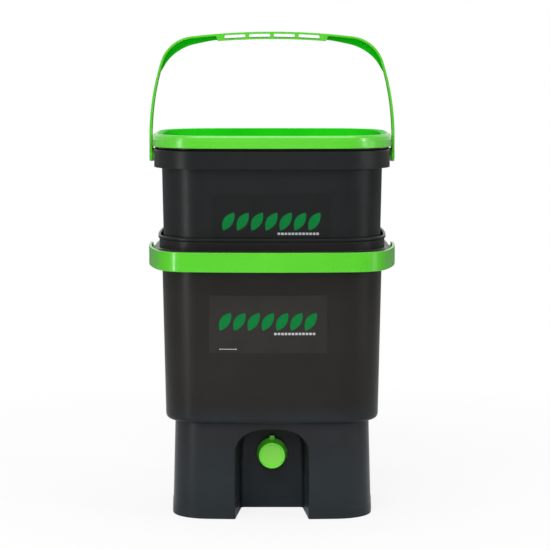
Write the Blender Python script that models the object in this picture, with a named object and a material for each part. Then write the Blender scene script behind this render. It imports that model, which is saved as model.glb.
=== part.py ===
"""Two nested kitchen compost bins with green handles, a press-on lid and a turning tap in an arched recess.

Units are metres, +Z is up and the tap side faces -Y. Each bin is modelled once, in its own frame: the
centre of its plan at the floor. The upper bin repeats it, standing on the ledge inside the lower one.
Runs with: blender --background --python part.py
"""

import math

import bmesh
import bpy
from mathutils import Vector

MM = 0.001

# Fits shared by all pieces
SEAT_GAP = 0.3 * MM
CUT_OVERRUN = 6.0 * MM
WALL = 2.5 * MM

# Plan outline of the rim bead: four shallow bows joined by tangent corner arcs
RIM_WIDTH = 310.8 * MM
RIM_DEPTH = 259.8 * MM
CORNER_RADIUS = 70.0 * MM
SIDE_BOW_RADIUS = 950.0 * MM
FRONT_BOW_RADIUS = 1200.0 * MM
CORNER_STEPS = 5
HALF_SIDE_STEPS = 2
HALF_FRONT_STEPS = 2

# Heights of the bucket above its own foot
RIM_TOP = 381.0 * MM
BODY_BOTTOM = 131.0 * MM
COLLAR_HEIGHT = 24.5 * MM
COLLAR_DROP = 17.7 * MM
SUMP_FLOOR = 57.5 * MM
FOOT_BAND_HEIGHT = 14.7 * MM

# Insets from the rim bead's outline: positive is inwards
MOUTH_INSET = 4.0 * MM
NECK_INSET = 1.5 * MM
COLLAR_OVERHANG = 5.0 * MM
BODY_TOP_INSET = 4.7 * MM
BASE_TOP_INSET = 22.3 * MM
BASE_FLARE = 3.5 * MM
SUMP_DRAFT = 0.6 * MM
FOOT_BAND_STEP = 0.6 * MM
FOOT_CHAMFER = 1.0 * MM
BEAD_HEIGHT = 5.0 * MM
BEAD_ROUND = 1.4 * MM
COLLAR_ROUND = 1.2 * MM
BODY_FLOOR_RADIUS = 11.5 * MM
BODY_FLOOR_INNER_RADIUS = 7.5 * MM
MOUTH_STEP_HEIGHT = 10.0 * MM
FILLET_STEPS = 3

# Arched recess for the tap
ARCH_WIDTH = 99.5 * MM
ARCH_TOP = 122.0 * MM
ARCH_SPRING = 87.0 * MM
ARCH_EXPONENT = 2.3
ARCH_STEPS = 11
RECESS_DEPTH = 80.0 * MM
RECESS_BACK_WIDTH = 86.0 * MM
RECESS_BACK_TOP = 114.0 * MM
RECESS_BACK_ROUND = 5.0 * MM
RECESS_LIFT = 0.5 * MM

# Strainer plate and the ribs that carry it
STRAINER_THICKNESS = 2.0 * MM
STRAINER_DROP = 0.5 * MM
STRAINER_CLEARANCE = 0.6 * MM
RIB_REACH = 5.0 * MM
RIB_WIDTH = 7.0 * MM
RIB_HEIGHT = 14.0 * MM
RIB_SIDE_SHARE = 0.42
RIB_BACK_SHARE = 0.5
RIB_FRONT_SHARE = 0.62
SLOT_LENGTH = 30.0 * MM
SLOT_WIDTH = 3.2 * MM
SLOT_PITCH_X = 42.0 * MM
SLOT_PITCH_Y = 18.0 * MM
SLOT_COLUMNS = 5
SLOT_ROWS = 8
FINGER_HOLE_RADIUS = 9.5 * MM
FINGER_HOLE_STEPS = 12

# Lid
LID_OVERHANG = 7.3 * MM
LID_SKIRT_DRAFT = 0.5 * MM
LID_WALL = 1.8 * MM
LID_SKIRT_HEIGHT = 14.7 * MM
LID_SHOULDER = 9.0 * MM
LID_LAND_INSET = 2.6 * MM
LID_TRAY_DEPTH = 17.0 * MM
LID_TRAY_DRAFT = 2.2 * MM
LID_TRAY_ROUND = 3.0 * MM
LID_EDGE_ROUND = 2.6 * MM
LID_FIT = 0.5 * MM

# Handle: a strip along an arched line, seen from the front
ARM_STANDOFF = 3.5 * MM
FOLDED_GAP = 22.4 * MM
PIVOT_RAISE = 1.5 * MM
HANDLE_WIDTH = 26.0 * MM
ARM_THICKNESS = 3.7 * MM
ARM_END_HALF_WIDTH = 13.4 * MM
ARM_END_DROP = 9.6 * MM
ARM_END_STEP = 0.6 * MM
STRIP_THICKNESS = 3.2 * MM
ARM_UPRIGHT = 24.0 * MM
ARM_BOW_RADIUS = 340.0 * MM
BOW_CORNER_RADIUS = 50.0 * MM
BOW_TOP_RADIUS = 950.0 * MM
ARM_STEPS = 5
BOW_CORNER_STEPS = 10
BOW_TOP_STEPS = 6
WEB_THICKNESS = 3.0 * MM
WEB_TOP_DEPTH = 5.3 * MM
WEB_CORNER_DEPTH = 9.4 * MM
WEB_RUN_DOWN = 25.0 * MM
WEB_PEAK_SHARE = 0.7
GRIP_LENGTH = 147.0 * MM
GRIP_HEIGHT = 10.2 * MM
GRIP_RAIL = 2.0 * MM
GRIP_SIDE_STEP = 0.4 * MM
GRIP_SKIN = 2.5 * MM
GRIP_SLANT = 4.0 * MM
GRIP_END_LAND = 8.5 * MM
GRIP_RIB = 5.0 * MM
GRIP_WINDOWS = 4
PIN_RADIUS = 5.0 * MM
PIN_HEAD_RADIUS = 6.4 * MM
PIN_HEAD_LENGTH = 3.0 * MM
PIN_CLEARANCE = 0.4 * MM
PIVOT_PAD_RADIUS = 9.0 * MM
PIN_STEPS = 12
ARM_END_STEPS = 16

# Tap, listed from the recess wall towards the front
TAP_HEIGHT = 78.1 * MM
BORE_RADIUS = 11.0 * MM
BARREL_RADIUS = 10.5 * MM
BARREL_BORE_RADIUS = 7.0 * MM
BARREL_REACH = 15.0 * MM
SEAL_THICKNESS = 2.0 * MM
SEAL_RADIUS = 18.0 * MM
INNER_SEAL_RADIUS = 15.5 * MM
INNER_SEAL_THICKNESS = 1.5 * MM
FLANGE_RADIUS = 21.0 * MM
FLANGE_THICKNESS = 3.0 * MM
HOUSING_RADIUS = 13.5 * MM
HOUSING_LENGTH = 24.0 * MM
HOUSING_END = 2.5 * MM
NUT_RADIUS = 16.5 * MM
NUT_COLLAR_RADIUS = 14.0 * MM
NUT_THICKNESS = 6.0 * MM
NUT_COLLAR = 1.5 * MM
KNOB_BACK_RADIUS = 20.8 * MM
KNOB_FRONT_RADIUS = 17.7 * MM
KNOB_FACE_RADIUS = 13.8 * MM
KNOB_FACE_RECESS = 0.8 * MM
KNOB_LENGTH = 26.0 * MM
KNOB_EDGE_ROUND = 1.4 * MM
KNOB_BACK_BAND = 4.0 * MM
KNOB_CLEARANCE = 0.4 * MM
KNOB_RUNNING_GAP = 0.8 * MM
POINTER_WIDTH = 6.4 * MM
POINTER_LENGTH = 5.0 * MM
POINTER_HEIGHT = 3.2 * MM
PORT_RADIUS = 4.5 * MM
PORT_SETBACK = 8.5 * MM
O_RING_RADIUS = 1.2 * MM
O_RING_SETBACK = 19.0 * MM
GROOVE_DEPTH = 1.4 * MM
GROOVE_WIDTH = 3.0 * MM
TURN_STEPS = 18
RING_STEPS = 6

# Front label film
LABEL_WIDTH = 157.5 * MM
LABEL_THICKNESS = 0.4 * MM
LOWER_LABEL_SHIFT = -5.0 * MM
UPPER_LABEL_SHIFT = -0.4 * MM
LABEL_DROP = 76.0 * MM
LABEL_TUCK = 19.9 * MM
LABEL_STEPS = 6

# Worked out from the sizes above
RIM_HALF_WIDTH = RIM_WIDTH / 2
RIM_HALF_DEPTH = RIM_DEPTH / 2
COLLAR_TOP = RIM_TOP - COLLAR_DROP
COLLAR_BOTTOM = COLLAR_TOP - COLLAR_HEIGHT
PIVOT_HEIGHT = (COLLAR_TOP + COLLAR_BOTTOM) / 2 + PIVOT_RAISE
LEDGE_TOP = BODY_BOTTOM + WALL
LEDGE_INNER_INSET = BASE_TOP_INSET + WALL
NEST_RISE = LEDGE_TOP + SEAT_GAP
BODY_DRAFT = (WALL + SEAT_GAP) * (COLLAR_TOP - BODY_BOTTOM) / NEST_RISE
LABEL_TOP = RIM_TOP - LABEL_DROP
LABEL_BOTTOM = RIM_TOP - LABEL_TUCK - NEST_RISE
COLLAR_HALF_WIDTH = RIM_HALF_WIDTH + COLLAR_OVERHANG
HANDLE_HALF_SPAN = COLLAR_HALF_WIDTH + ARM_STANDOFF + ARM_THICKNESS
HANDLE_RISE = RIM_HALF_DEPTH + COLLAR_OVERHANG + FOLDED_GAP + GRIP_HEIGHT
LID_HALF_DEPTH = RIM_HALF_DEPTH + LID_OVERHANG + LID_SKIRT_DRAFT
FOLDED_REACH = HANDLE_RISE
CENTRE_Y = (FOLDED_REACH - LID_HALF_DEPTH) / 2


def clear_scene():
    """Remove whatever the file already holds."""
    for obj in list(bpy.data.objects):
        bpy.data.objects.remove(obj)


def make_material(name, colour, roughness, metallic=0.0):
    """A Principled BSDF material of one colour."""
    material = bpy.data.materials.new(name)
    material.use_nodes = True
    shader = material.node_tree.nodes["Principled BSDF"]
    shader.inputs["Base Color"].default_value = (*colour, 1.0)
    shader.inputs["Roughness"].default_value = roughness
    shader.inputs["Metallic"].default_value = metallic
    return material


# Plan outline and lofted shells


def touching_centre(first, first_radius, second, second_radius, radius):
    """Centre of a circle that touches two larger circles from inside, on the upper right."""
    reach_first = first_radius - radius
    reach_second = second_radius - radius
    across = second - first
    distance = across.length
    along = (reach_first**2 - reach_second**2 + distance**2) / (2 * distance)
    offset = math.sqrt(reach_first**2 - along**2)
    direction = across / distance
    normal = Vector((-direction.y, direction.x))
    candidates = [first + direction * along + normal * s for s in (offset, -offset)]
    return max(candidates, key=lambda p: p.x + p.y)


def arc_points(centre, radius, start, end, steps):
    """Points on an arc in the plane, both ends included."""
    angles = [start + (end - start) * i / steps for i in range(steps + 1)]
    return [(centre[0] + radius * math.cos(a), centre[1] + radius * math.sin(a)) for a in angles]


def plan_outline(inset):
    """The closed plan outline at an inset from the rim bead, anticlockwise from +X."""
    side_centre = Vector((RIM_HALF_WIDTH - SIDE_BOW_RADIUS, 0.0))
    front_centre = Vector((0.0, RIM_HALF_DEPTH - FRONT_BOW_RADIUS))
    corner = touching_centre(side_centre, SIDE_BOW_RADIUS, front_centre, FRONT_BOW_RADIUS, CORNER_RADIUS)
    side_end = math.atan2(corner.y, corner.x - side_centre.x)
    front_start = math.atan2(corner.y - front_centre.y, corner.x)
    side = arc_points(side_centre, SIDE_BOW_RADIUS - inset, 0.0, side_end, HALF_SIDE_STEPS)
    turn = arc_points(corner, CORNER_RADIUS - inset, side_end, front_start, CORNER_STEPS)
    front = arc_points(front_centre, FRONT_BOW_RADIUS - inset, front_start, math.pi / 2, HALF_FRONT_STEPS)
    quarter = side + turn[1:] + front[1:]
    left = [(-x, y) for x, y in reversed(quarter[:-1])]
    half = quarter + left
    return half + [(x, -y) for x, y in reversed(half[1:-1])]


def front_surface(x, inset):
    """Distance from the centre to the front surface of a given inset, at a place across."""
    return RIM_HALF_DEPTH - FRONT_BOW_RADIUS + math.sqrt((FRONT_BOW_RADIUS - inset) ** 2 - x**2)


def new_object(name, mesh_data, material=None):
    """Link a mesh made from a bmesh, faces pointing out."""
    bmesh.ops.recalc_face_normals(mesh_data, faces=mesh_data.faces)
    mesh = bpy.data.meshes.new(name)
    mesh_data.to_mesh(mesh)
    mesh_data.free()
    obj = bpy.data.objects.new(name, mesh)
    bpy.context.scene.collection.objects.link(obj)
    if material:
        mesh.materials.append(material)
    return obj


def loft_loops(mesh_data, loops, cap_ends):
    """Join loops of points of equal count with quads, and close the first and last if asked."""
    rings = [[mesh_data.verts.new(p) for p in loop] for loop in loops]
    pairs = list(zip(rings, rings[1:]))
    if not cap_ends:
        pairs.append((rings[-1], rings[0]))
    for lower, upper in pairs:
        count = len(lower)
        for i in range(count):
            j = (i + 1) % count
            mesh_data.faces.new((lower[i], lower[j], upper[j], upper[i]))
    if cap_ends:
        mesh_data.faces.new(list(reversed(rings[0])))
        mesh_data.faces.new(rings[-1])


def shell_from_profile(name, profile, material, ring=False):
    """Loft a body from (inset, height) pairs along its section, closed as a ring or capped at both ends."""
    mesh_data = bmesh.new()
    loops = [[(x, y, z) for x, y in plan_outline(inset)] for inset, z in profile]
    loft_loops(mesh_data, loops, not ring)
    return new_object(name, mesh_data, material)


# Solid building blocks


def prism(name, outline, low, high, axis):
    """Extrude a closed outline of (u, v) points between two places along X or Y."""
    mesh_data = bmesh.new()
    place = {
        "x": lambda u, v, w: (w, u, v),
        "y": lambda u, v, w: (u, w, v),
        "z": lambda u, v, w: (u, v, w),
    }[axis]
    loops = [[place(u, v, w) for u, v in outline] for w in (low, high)]
    loft_loops(mesh_data, loops, True)
    return new_object(name, mesh_data)


def circle(radius, steps, centre=(0.0, 0.0)):
    """A closed circle of points."""
    angles = [2 * math.pi * i / steps for i in range(steps)]
    return [(centre[0] + radius * math.cos(a), centre[1] + radius * math.sin(a)) for a in angles]


def box(name, low, high):
    """An upright block between two corners."""
    outline = [(low[0], low[1]), (high[0], low[1]), (high[0], high[1]), (low[0], high[1])]
    return prism(name, outline, low[2], high[2], "z")


def turned(name, profile, material, closed, steps=TURN_STEPS):
    """Turn a section of (radius, place) pairs about -Y. A closed section makes a ring, else it is capped."""
    mesh_data = bmesh.new()
    loops = [[(u, -place, v) for u, v in circle(radius, steps)] for radius, place in profile]
    loft_loops(mesh_data, loops, not closed)
    return new_object(name, mesh_data, material)


def combine(target, other, operation):
    """Apply a Boolean to the target and remove the other object."""
    modifier = target.modifiers.new("combine", "BOOLEAN")
    modifier.operation = operation
    modifier.solver = "EXACT"
    modifier.object = other
    bpy.context.view_layer.update()
    evaluated = target.evaluated_get(bpy.context.evaluated_depsgraph_get())
    result = bpy.data.meshes.new_from_object(evaluated)
    target.modifiers.clear()
    target.data = result
    bpy.data.objects.remove(other)
    return target


def cut(target, cutter):
    """Take the cutter's volume out of the target."""
    return combine(target, cutter, "DIFFERENCE")


def fuse(target, other):
    """Add the other object's volume to the target."""
    return combine(target, other, "UNION")


def one_cutter(name, parts):
    """Join several separate cutters into one object."""
    mesh_data = bmesh.new()
    for part in parts:
        mesh_data.from_mesh(part.data)
        bpy.data.objects.remove(part)
    return new_object(name, mesh_data)


# Bucket


def body_inset(z):
    """Inset of the drafted outer wall of the body."""
    share = (COLLAR_TOP - z) / (COLLAR_TOP - BODY_BOTTOM)
    return BODY_TOP_INSET + BODY_DRAFT * share


def base_inset(z):
    """Inset of the outer wall of the base, which widens towards the floor."""
    return BASE_TOP_INSET - BASE_FLARE * (BODY_BOTTOM - z) / BODY_BOTTOM


def base_profile():
    """The section of the base, from under the sump floor, round foot and top edge, to the sump floor."""
    foot_inset = base_inset(0.0) - FOOT_BAND_STEP
    band_top_inset = base_inset(FOOT_BAND_HEIGHT)
    floor_under = SUMP_FLOOR - WALL
    top = BODY_BOTTOM - SEAT_GAP
    return [
        (base_inset(floor_under) + WALL, floor_under),
        (foot_inset + WALL, 0.0),
        (foot_inset + FOOT_CHAMFER, 0.0),
        (foot_inset, FOOT_CHAMFER),
        (band_top_inset - FOOT_BAND_STEP, FOOT_BAND_HEIGHT - FOOT_BAND_STEP),
        (band_top_inset, FOOT_BAND_HEIGHT),
        (base_inset(top), top),
        (LEDGE_INNER_INSET, top),
        (LEDGE_INNER_INSET + SUMP_DRAFT, SUMP_FLOOR),
    ]


def body_profile():
    """The closed section of the body: ledge, drafted wall, collar, rim bead and inner wall."""
    body_low_inset = body_inset(BODY_BOTTOM)
    web_under = COLLAR_TOP - WALL
    collar_inner = -COLLAR_OVERHANG + WALL
    bead_bottom = RIM_TOP - BEAD_HEIGHT
    profile = [(LEDGE_INNER_INSET, BODY_BOTTOM)]
    # Rounded lower edge of the body
    radius = BODY_FLOOR_RADIUS
    centre = (body_low_inset + radius, BODY_BOTTOM + radius)
    for i in range(FILLET_STEPS + 1):
        angle = math.pi / 2 * i / FILLET_STEPS
        profile.append((centre[0] - radius * math.sin(angle), centre[1] - radius * math.cos(angle)))
    profile += [
        (body_inset(web_under), web_under),
        (collar_inner, web_under),
        (collar_inner, COLLAR_BOTTOM),
        (-COLLAR_OVERHANG, COLLAR_BOTTOM),
        (-COLLAR_OVERHANG, COLLAR_TOP - COLLAR_ROUND),
        (-COLLAR_OVERHANG + COLLAR_ROUND, COLLAR_TOP),
        (NECK_INSET, COLLAR_TOP),
        (NECK_INSET, bead_bottom),
        (0.0, bead_bottom + NECK_INSET),
        (0.0, RIM_TOP - BEAD_ROUND),
        (BEAD_ROUND, RIM_TOP),
        (MOUTH_INSET - BEAD_ROUND / 2, RIM_TOP),
        (MOUTH_INSET, RIM_TOP - BEAD_ROUND / 2),
        (MOUTH_INSET, COLLAR_TOP),
        (body_inset(COLLAR_TOP - MOUTH_STEP_HEIGHT) + WALL, COLLAR_TOP - MOUTH_STEP_HEIGHT),
    ]
    radius = BODY_FLOOR_INNER_RADIUS
    centre = (body_low_inset + WALL + radius, LEDGE_TOP + radius)
    for i in range(FILLET_STEPS + 1):
        angle = math.pi / 2 * (1 - i / FILLET_STEPS)
        profile.append((centre[0] - radius * math.sin(angle), centre[1] - radius * math.cos(angle)))
    profile.append((LEDGE_INNER_INSET, LEDGE_TOP))
    return profile


def arch_outline(half_width, spring, top, bottom, steps=ARCH_STEPS):
    """An arch of (x, z) points: straight sides and a squarish half ellipse on top."""
    points = [(-half_width, bottom)]
    power = 2 / ARCH_EXPONENT
    for i in range(steps + 1):
        angle = math.pi * (1 - i / steps)
        across = math.copysign(abs(math.cos(angle)) ** power, math.cos(angle))
        points.append((half_width * across, spring + (top - spring) * math.sin(angle) ** power))
    points.append((half_width, bottom))
    return points


def recess_back():
    """Distance in front of the centre of the outer face of the recess's back wall."""
    return front_surface(0.0, base_inset(TAP_HEIGHT)) - RECESS_DEPTH


def recess_block(name, margin, bottom, front):
    """The recess as a solid lofted from a front arch to a narrower back arch, grown by a margin."""
    back = recess_back()
    stations = [
        (front, ARCH_WIDTH / 2, ARCH_TOP),
        (back + RECESS_BACK_ROUND, RECESS_BACK_WIDTH / 2, RECESS_BACK_TOP),
        (back - margin, RECESS_BACK_WIDTH / 2 - RECESS_BACK_ROUND, RECESS_BACK_TOP - RECESS_BACK_ROUND),
    ]
    mesh_data = bmesh.new()
    loops = []
    for place, half_width, top in stations:
        loop = []
        for x, z in arch_outline(half_width + margin, ARCH_SPRING, top + margin, bottom):
            depth = place if place is not None else front_surface(x, base_inset(max(z, 0.0))) - WALL / 2
            loop.append((x, -depth, z))
        loops.append(loop)
    loft_loops(mesh_data, loops, True)
    return new_object(name, mesh_data)


def strainer_ribs():
    """Small upright ribs on the sump wall that the strainer lies on."""
    half_width = RIM_HALF_WIDTH - LEDGE_INNER_INSET
    half_depth = RIM_HALF_DEPTH - LEDGE_INNER_INSET
    top = strainer_bottom() - SEAT_GAP
    bottom = top - RIB_HEIGHT
    half_rib = RIB_WIDTH / 2
    root = WALL / 2
    ribs = []
    for side in (-1, 1):
        for end in (-1, 1):
            y = end * half_depth * RIB_SIDE_SHARE
            xs = sorted((side * (half_width - RIB_REACH), side * (half_width + root)))
            ribs.append(box("rib", (xs[0], y - half_rib, bottom), (xs[1], y + half_rib, top)))
        for end, share in ((-1, RIB_FRONT_SHARE), (1, RIB_BACK_SHARE)):
            x = side * half_width * share
            surface = front_surface(x, LEDGE_INNER_INSET)
            ys = sorted((end * (surface - RIB_REACH), end * (surface + root)))
            ribs.append(box("rib", (x - half_rib, ys[0], bottom), (x + half_rib, ys[1], top)))
    return ribs


def make_base(material):
    """Flared base with the sump floor, the foot band and the arched recess let into its front."""
    base = shell_from_profile("base", base_profile(), material)
    fuse(base, recess_block("recess_wall", WALL, RECESS_LIFT, None))
    cut(base, recess_block("recess_low_void", -FOOT_BAND_STEP, -CUT_OVERRUN, RIM_HALF_DEPTH))
    band_edge = FOOT_BAND_HEIGHT - FOOT_BAND_STEP / 2
    cut(base, recess_block("recess_void", 0.0, band_edge, RIM_HALF_DEPTH))
    for rib in strainer_ribs():
        fuse(base, rib)
    back = recess_back()
    bore = prism(
        "tap_bore",
        circle(BORE_RADIUS, TURN_STEPS, (0.0, TAP_HEIGHT)),
        -back - CUT_OVERRUN,
        -back + WALL + CUT_OVERRUN,
        "y",
    )
    cut(base, bore)
    return base


def make_bucket(material):
    """Bucket body that stands on the base: ledge, wall, collar with the pivot holes, and rim."""
    bucket = shell_from_profile("bucket", body_profile(), material, ring=True)
    holes = []
    for side in (-1, 1):
        inner = side * (COLLAR_HALF_WIDTH - WALL - SEAT_GAP)
        outer = side * (COLLAR_HALF_WIDTH + CUT_OVERRUN)
        low, high = sorted((inner, outer))
        hole = circle(PIN_RADIUS + PIN_CLEARANCE, PIN_STEPS, (0.0, PIVOT_HEIGHT))
        holes.append(prism("pivot_hole", hole, low, high, "x"))
    cut(bucket, one_cutter("pivot_holes", holes))
    return bucket


# Strainer


def strainer_bottom():
    """Height of the underside of the strainer."""
    return LEDGE_TOP - STRAINER_DROP - STRAINER_THICKNESS


def make_strainer(material):
    """Slotted plate that lies over the sump, with two finger holes."""
    inset = LEDGE_INNER_INSET + STRAINER_CLEARANCE
    low = strainer_bottom()
    high = low + STRAINER_THICKNESS
    plate = prism("strainer", plan_outline(inset), low, high, "z")
    plate.data.materials.append(material)
    cutters = []
    bottom = low - CUT_OVERRUN
    top = high + CUT_OVERRUN
    first_x = -(SLOT_COLUMNS - 1) / 2 * SLOT_PITCH_X
    first_y = -(SLOT_ROWS - 1) / 2 * SLOT_PITCH_Y
    middle_rows = (SLOT_ROWS // 2 - 1, SLOT_ROWS // 2)
    outer_columns = (0, SLOT_COLUMNS - 1)
    for column in range(SLOT_COLUMNS):
        for row in range(SLOT_ROWS):
            if row in middle_rows and column in outer_columns:
                continue
            x = first_x + column * SLOT_PITCH_X
            y = first_y + row * SLOT_PITCH_Y
            corner = (x - SLOT_LENGTH / 2, y - SLOT_WIDTH / 2, bottom)
            cutters.append(box("slot", corner, (x + SLOT_LENGTH / 2, y + SLOT_WIDTH / 2, top)))
    for side in (-1, 1):
        centre = (side * first_x, 0.0)
        hole = circle(FINGER_HOLE_RADIUS, FINGER_HOLE_STEPS, centre)
        cutters.append(prism("finger_hole", hole, bottom, top, "z"))
    cut(plate, one_cutter("slots", cutters))
    return plate


# Lid


def lid_profile():
    """The section of the lid, from the tray's top surface, over the edge and skirt, to its underside."""
    channel_top = RIM_TOP + SEAT_GAP
    top = channel_top + LID_WALL
    skirt_bottom = channel_top - LID_SKIRT_HEIGHT
    tray_top = top - LID_TRAY_DEPTH
    plug_inset = MOUTH_INSET + LID_FIT
    tray_wall = plug_inset + LID_WALL
    skirt_inner = -LID_OVERHANG + LID_WALL
    shoulder = top - LID_SHOULDER
    brow = -LID_OVERHANG + LID_EDGE_ROUND
    return [
        (tray_wall + LID_TRAY_DRAFT + LID_TRAY_ROUND, tray_top),
        (tray_wall + LID_TRAY_DRAFT, tray_top + LID_TRAY_ROUND / 2),
        (tray_wall, top - LID_EDGE_ROUND),
        (tray_wall - LID_EDGE_ROUND / 3, top - LID_EDGE_ROUND / 3),
        (LID_LAND_INSET, top),
        (-LID_EDGE_ROUND / 3, top),
        (brow / 2 - LID_EDGE_ROUND / 3, top - LID_EDGE_ROUND / 2),
        (brow - LID_SKIRT_DRAFT, top - LID_SHOULDER / 2),
        (-LID_OVERHANG, shoulder),
        (-LID_OVERHANG - LID_SKIRT_DRAFT, skirt_bottom),
        (skirt_inner - LID_SKIRT_DRAFT, skirt_bottom),
        (skirt_inner, shoulder),
        (-LID_EDGE_ROUND, channel_top - LID_EDGE_ROUND),
        (-LID_FIT, channel_top),
        (plug_inset, channel_top),
        (plug_inset + LID_TRAY_DRAFT, tray_top),
        (plug_inset + LID_TRAY_DRAFT + LID_TRAY_ROUND, tray_top - LID_WALL),
    ]


def make_lid(material):
    """Press-on lid with a sunk tray, a channel over the rim and an outer skirt."""
    return shell_from_profile("lid", lid_profile(), material)


# Handle


def bow_path():
    """Half of the handle's outer line as (x, height) points from the pivot to the top centre."""
    arm_centre = Vector((HANDLE_HALF_SPAN - ARM_BOW_RADIUS, ARM_UPRIGHT))
    crown_centre = Vector((0.0, HANDLE_RISE - BOW_TOP_RADIUS))
    corner_centre = touching_centre(
        arm_centre, ARM_BOW_RADIUS, crown_centre, BOW_TOP_RADIUS, BOW_CORNER_RADIUS
    )
    to_corner = corner_centre - arm_centre
    arm_end = math.atan2(to_corner.y, to_corner.x)
    from_crown = corner_centre - crown_centre
    corner_end = math.atan2(from_crown.y, from_crown.x)
    arm = arc_points(arm_centre, ARM_BOW_RADIUS, 0.0, arm_end, ARM_STEPS)
    corner = arc_points(corner_centre, BOW_CORNER_RADIUS, arm_end, corner_end, BOW_CORNER_STEPS)
    crown = arc_points(crown_centre, BOW_TOP_RADIUS, corner_end, math.pi / 2, BOW_TOP_STEPS)
    return [(HANDLE_HALF_SPAN, 0.0)] + arm + corner[1:] + crown[1:]


def path_lengths(points):
    """Running length at each point."""
    lengths = [0.0]
    for a, b in zip(points, points[1:]):
        lengths.append(lengths[-1] + math.dist(a, b))
    return lengths


def inward_offset(points, depths):
    """Move each point of the half path square to the path, towards the inside of the handle."""
    moved = []
    last = len(points) - 1
    for i, (x, z) in enumerate(points):
        before = points[max(i - 1, 0)]
        after = points[min(i + 1, last)]
        tangent = Vector((after[0] - before[0], after[1] - before[1])).normalized()
        if i in (0, last):
            tangent = Vector((0.0, 1.0)) if i == 0 else Vector((-1.0, 0.0))
        moved.append((x - tangent.y * depths[i], z + tangent.x * depths[i]))
    return moved


def mirrored_band(outer, inner):
    """A closed outline between an outer and an inner half path and their mirror images."""
    outer_line = outer + [(-x, z) for x, z in reversed(outer[:-1])]
    inner_line = inner + [(-x, z) for x, z in reversed(inner[:-1])]
    return outer_line + list(reversed(inner_line))


def blend(share):
    """Smooth step from 0 to 1."""
    share = min(max(share, 0.0), 1.0)
    return share * share * (3 - 2 * share)


def crown_height(x):
    """Height of the handle's outer line near the grip."""
    return HANDLE_RISE - BOW_TOP_RADIUS + math.sqrt(BOW_TOP_RADIUS**2 - x**2)


def web_half(outer, strip):
    """The web under the strip on one side: outline points and how deep it hangs along the path."""
    lengths = path_lengths(outer)
    corner_first = 1 + ARM_STEPS
    corner_last = corner_first + BOW_CORNER_STEPS
    start = lengths[corner_first] - WEB_RUN_DOWN
    peak = lengths[corner_first] + (lengths[corner_last] - lengths[corner_first]) * WEB_PEAK_SHARE
    settle = lengths[-1] - GRIP_LENGTH / 2
    first = next(i for i, length in enumerate(lengths) if length > start)
    hidden = STRIP_THICKNESS / 4
    depths = []
    for length in lengths:
        climb = min(max((length - start) / (peak - start), 0.0), 1.0)
        rise = (WEB_CORNER_DEPTH + hidden) * math.sin(climb * math.pi / 2)
        fall = (WEB_CORNER_DEPTH - WEB_TOP_DEPTH) * blend((length - peak) / (settle - peak))
        depths.append(rise - fall - hidden)
    overlap = STRIP_THICKNESS / 2
    upper = inward_offset(outer, [t - overlap for t in strip])[first:]
    lower = inward_offset(outer, [t + d for t, d in zip(strip, depths)])[first:]
    keep = [i for i, (x, _) in enumerate(upper) if x > GRIP_LENGTH / 2]
    end = GRIP_LENGTH / 2 - GRIP_END_LAND / 2
    roof = crown_height(end)
    ends = [(end, roof - overlap), (end, roof - STRIP_THICKNESS - WEB_TOP_DEPTH)]
    skin = inward_offset(outer, strip)[first]
    return [upper[i] for i in keep] + ends + [lower[i] for i in reversed(keep)] + [skin]


def grip_outline():
    """The grip block under the strip, with slanted ends."""
    steps = 2 * BOW_TOP_STEPS
    half = GRIP_LENGTH / 2
    upper = []
    lower = []
    for i in range(steps + 1):
        share = 1 - 2 * i / steps
        x = share * half
        slant = math.copysign(GRIP_SLANT, share) * abs(share) ** steps
        upper.append((x + slant, crown_height(x) - GRIP_SKIN / 2))
        lower.append((x, crown_height(x) - GRIP_HEIGHT))
    return upper + list(reversed(lower))


def grip_windows():
    """Four windows through the grip, from front to back, between cross ribs."""
    inner = GRIP_LENGTH - 2 * GRIP_END_LAND
    opening = (inner - (GRIP_WINDOWS - 1) * GRIP_RIB) / GRIP_WINDOWS
    reach = HANDLE_WIDTH / 2 + CUT_OVERRUN
    windows = []
    for i in range(GRIP_WINDOWS):
        left = -inner / 2 + i * (opening + GRIP_RIB)
        xs = [left, left + opening / 2, left + opening]
        top = [(x, crown_height(x) - GRIP_SKIN) for x in xs]
        bottom = [(x, crown_height(x) - GRIP_HEIGHT + GRIP_RAIL) for x in reversed(xs)]
        windows.append(prism("window", top + bottom, -reach, reach, "y"))
    return windows


def arm_end_outline():
    """Outline of the thicker end of an arm: round above the pivot axis and lower below it."""
    outline = []
    for y, z in circle(ARM_END_HALF_WIDTH, ARM_END_STEPS):
        outline.append((y, z if z > 0 else z * ARM_END_DROP / ARM_END_HALF_WIDTH))
    return outline


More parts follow.
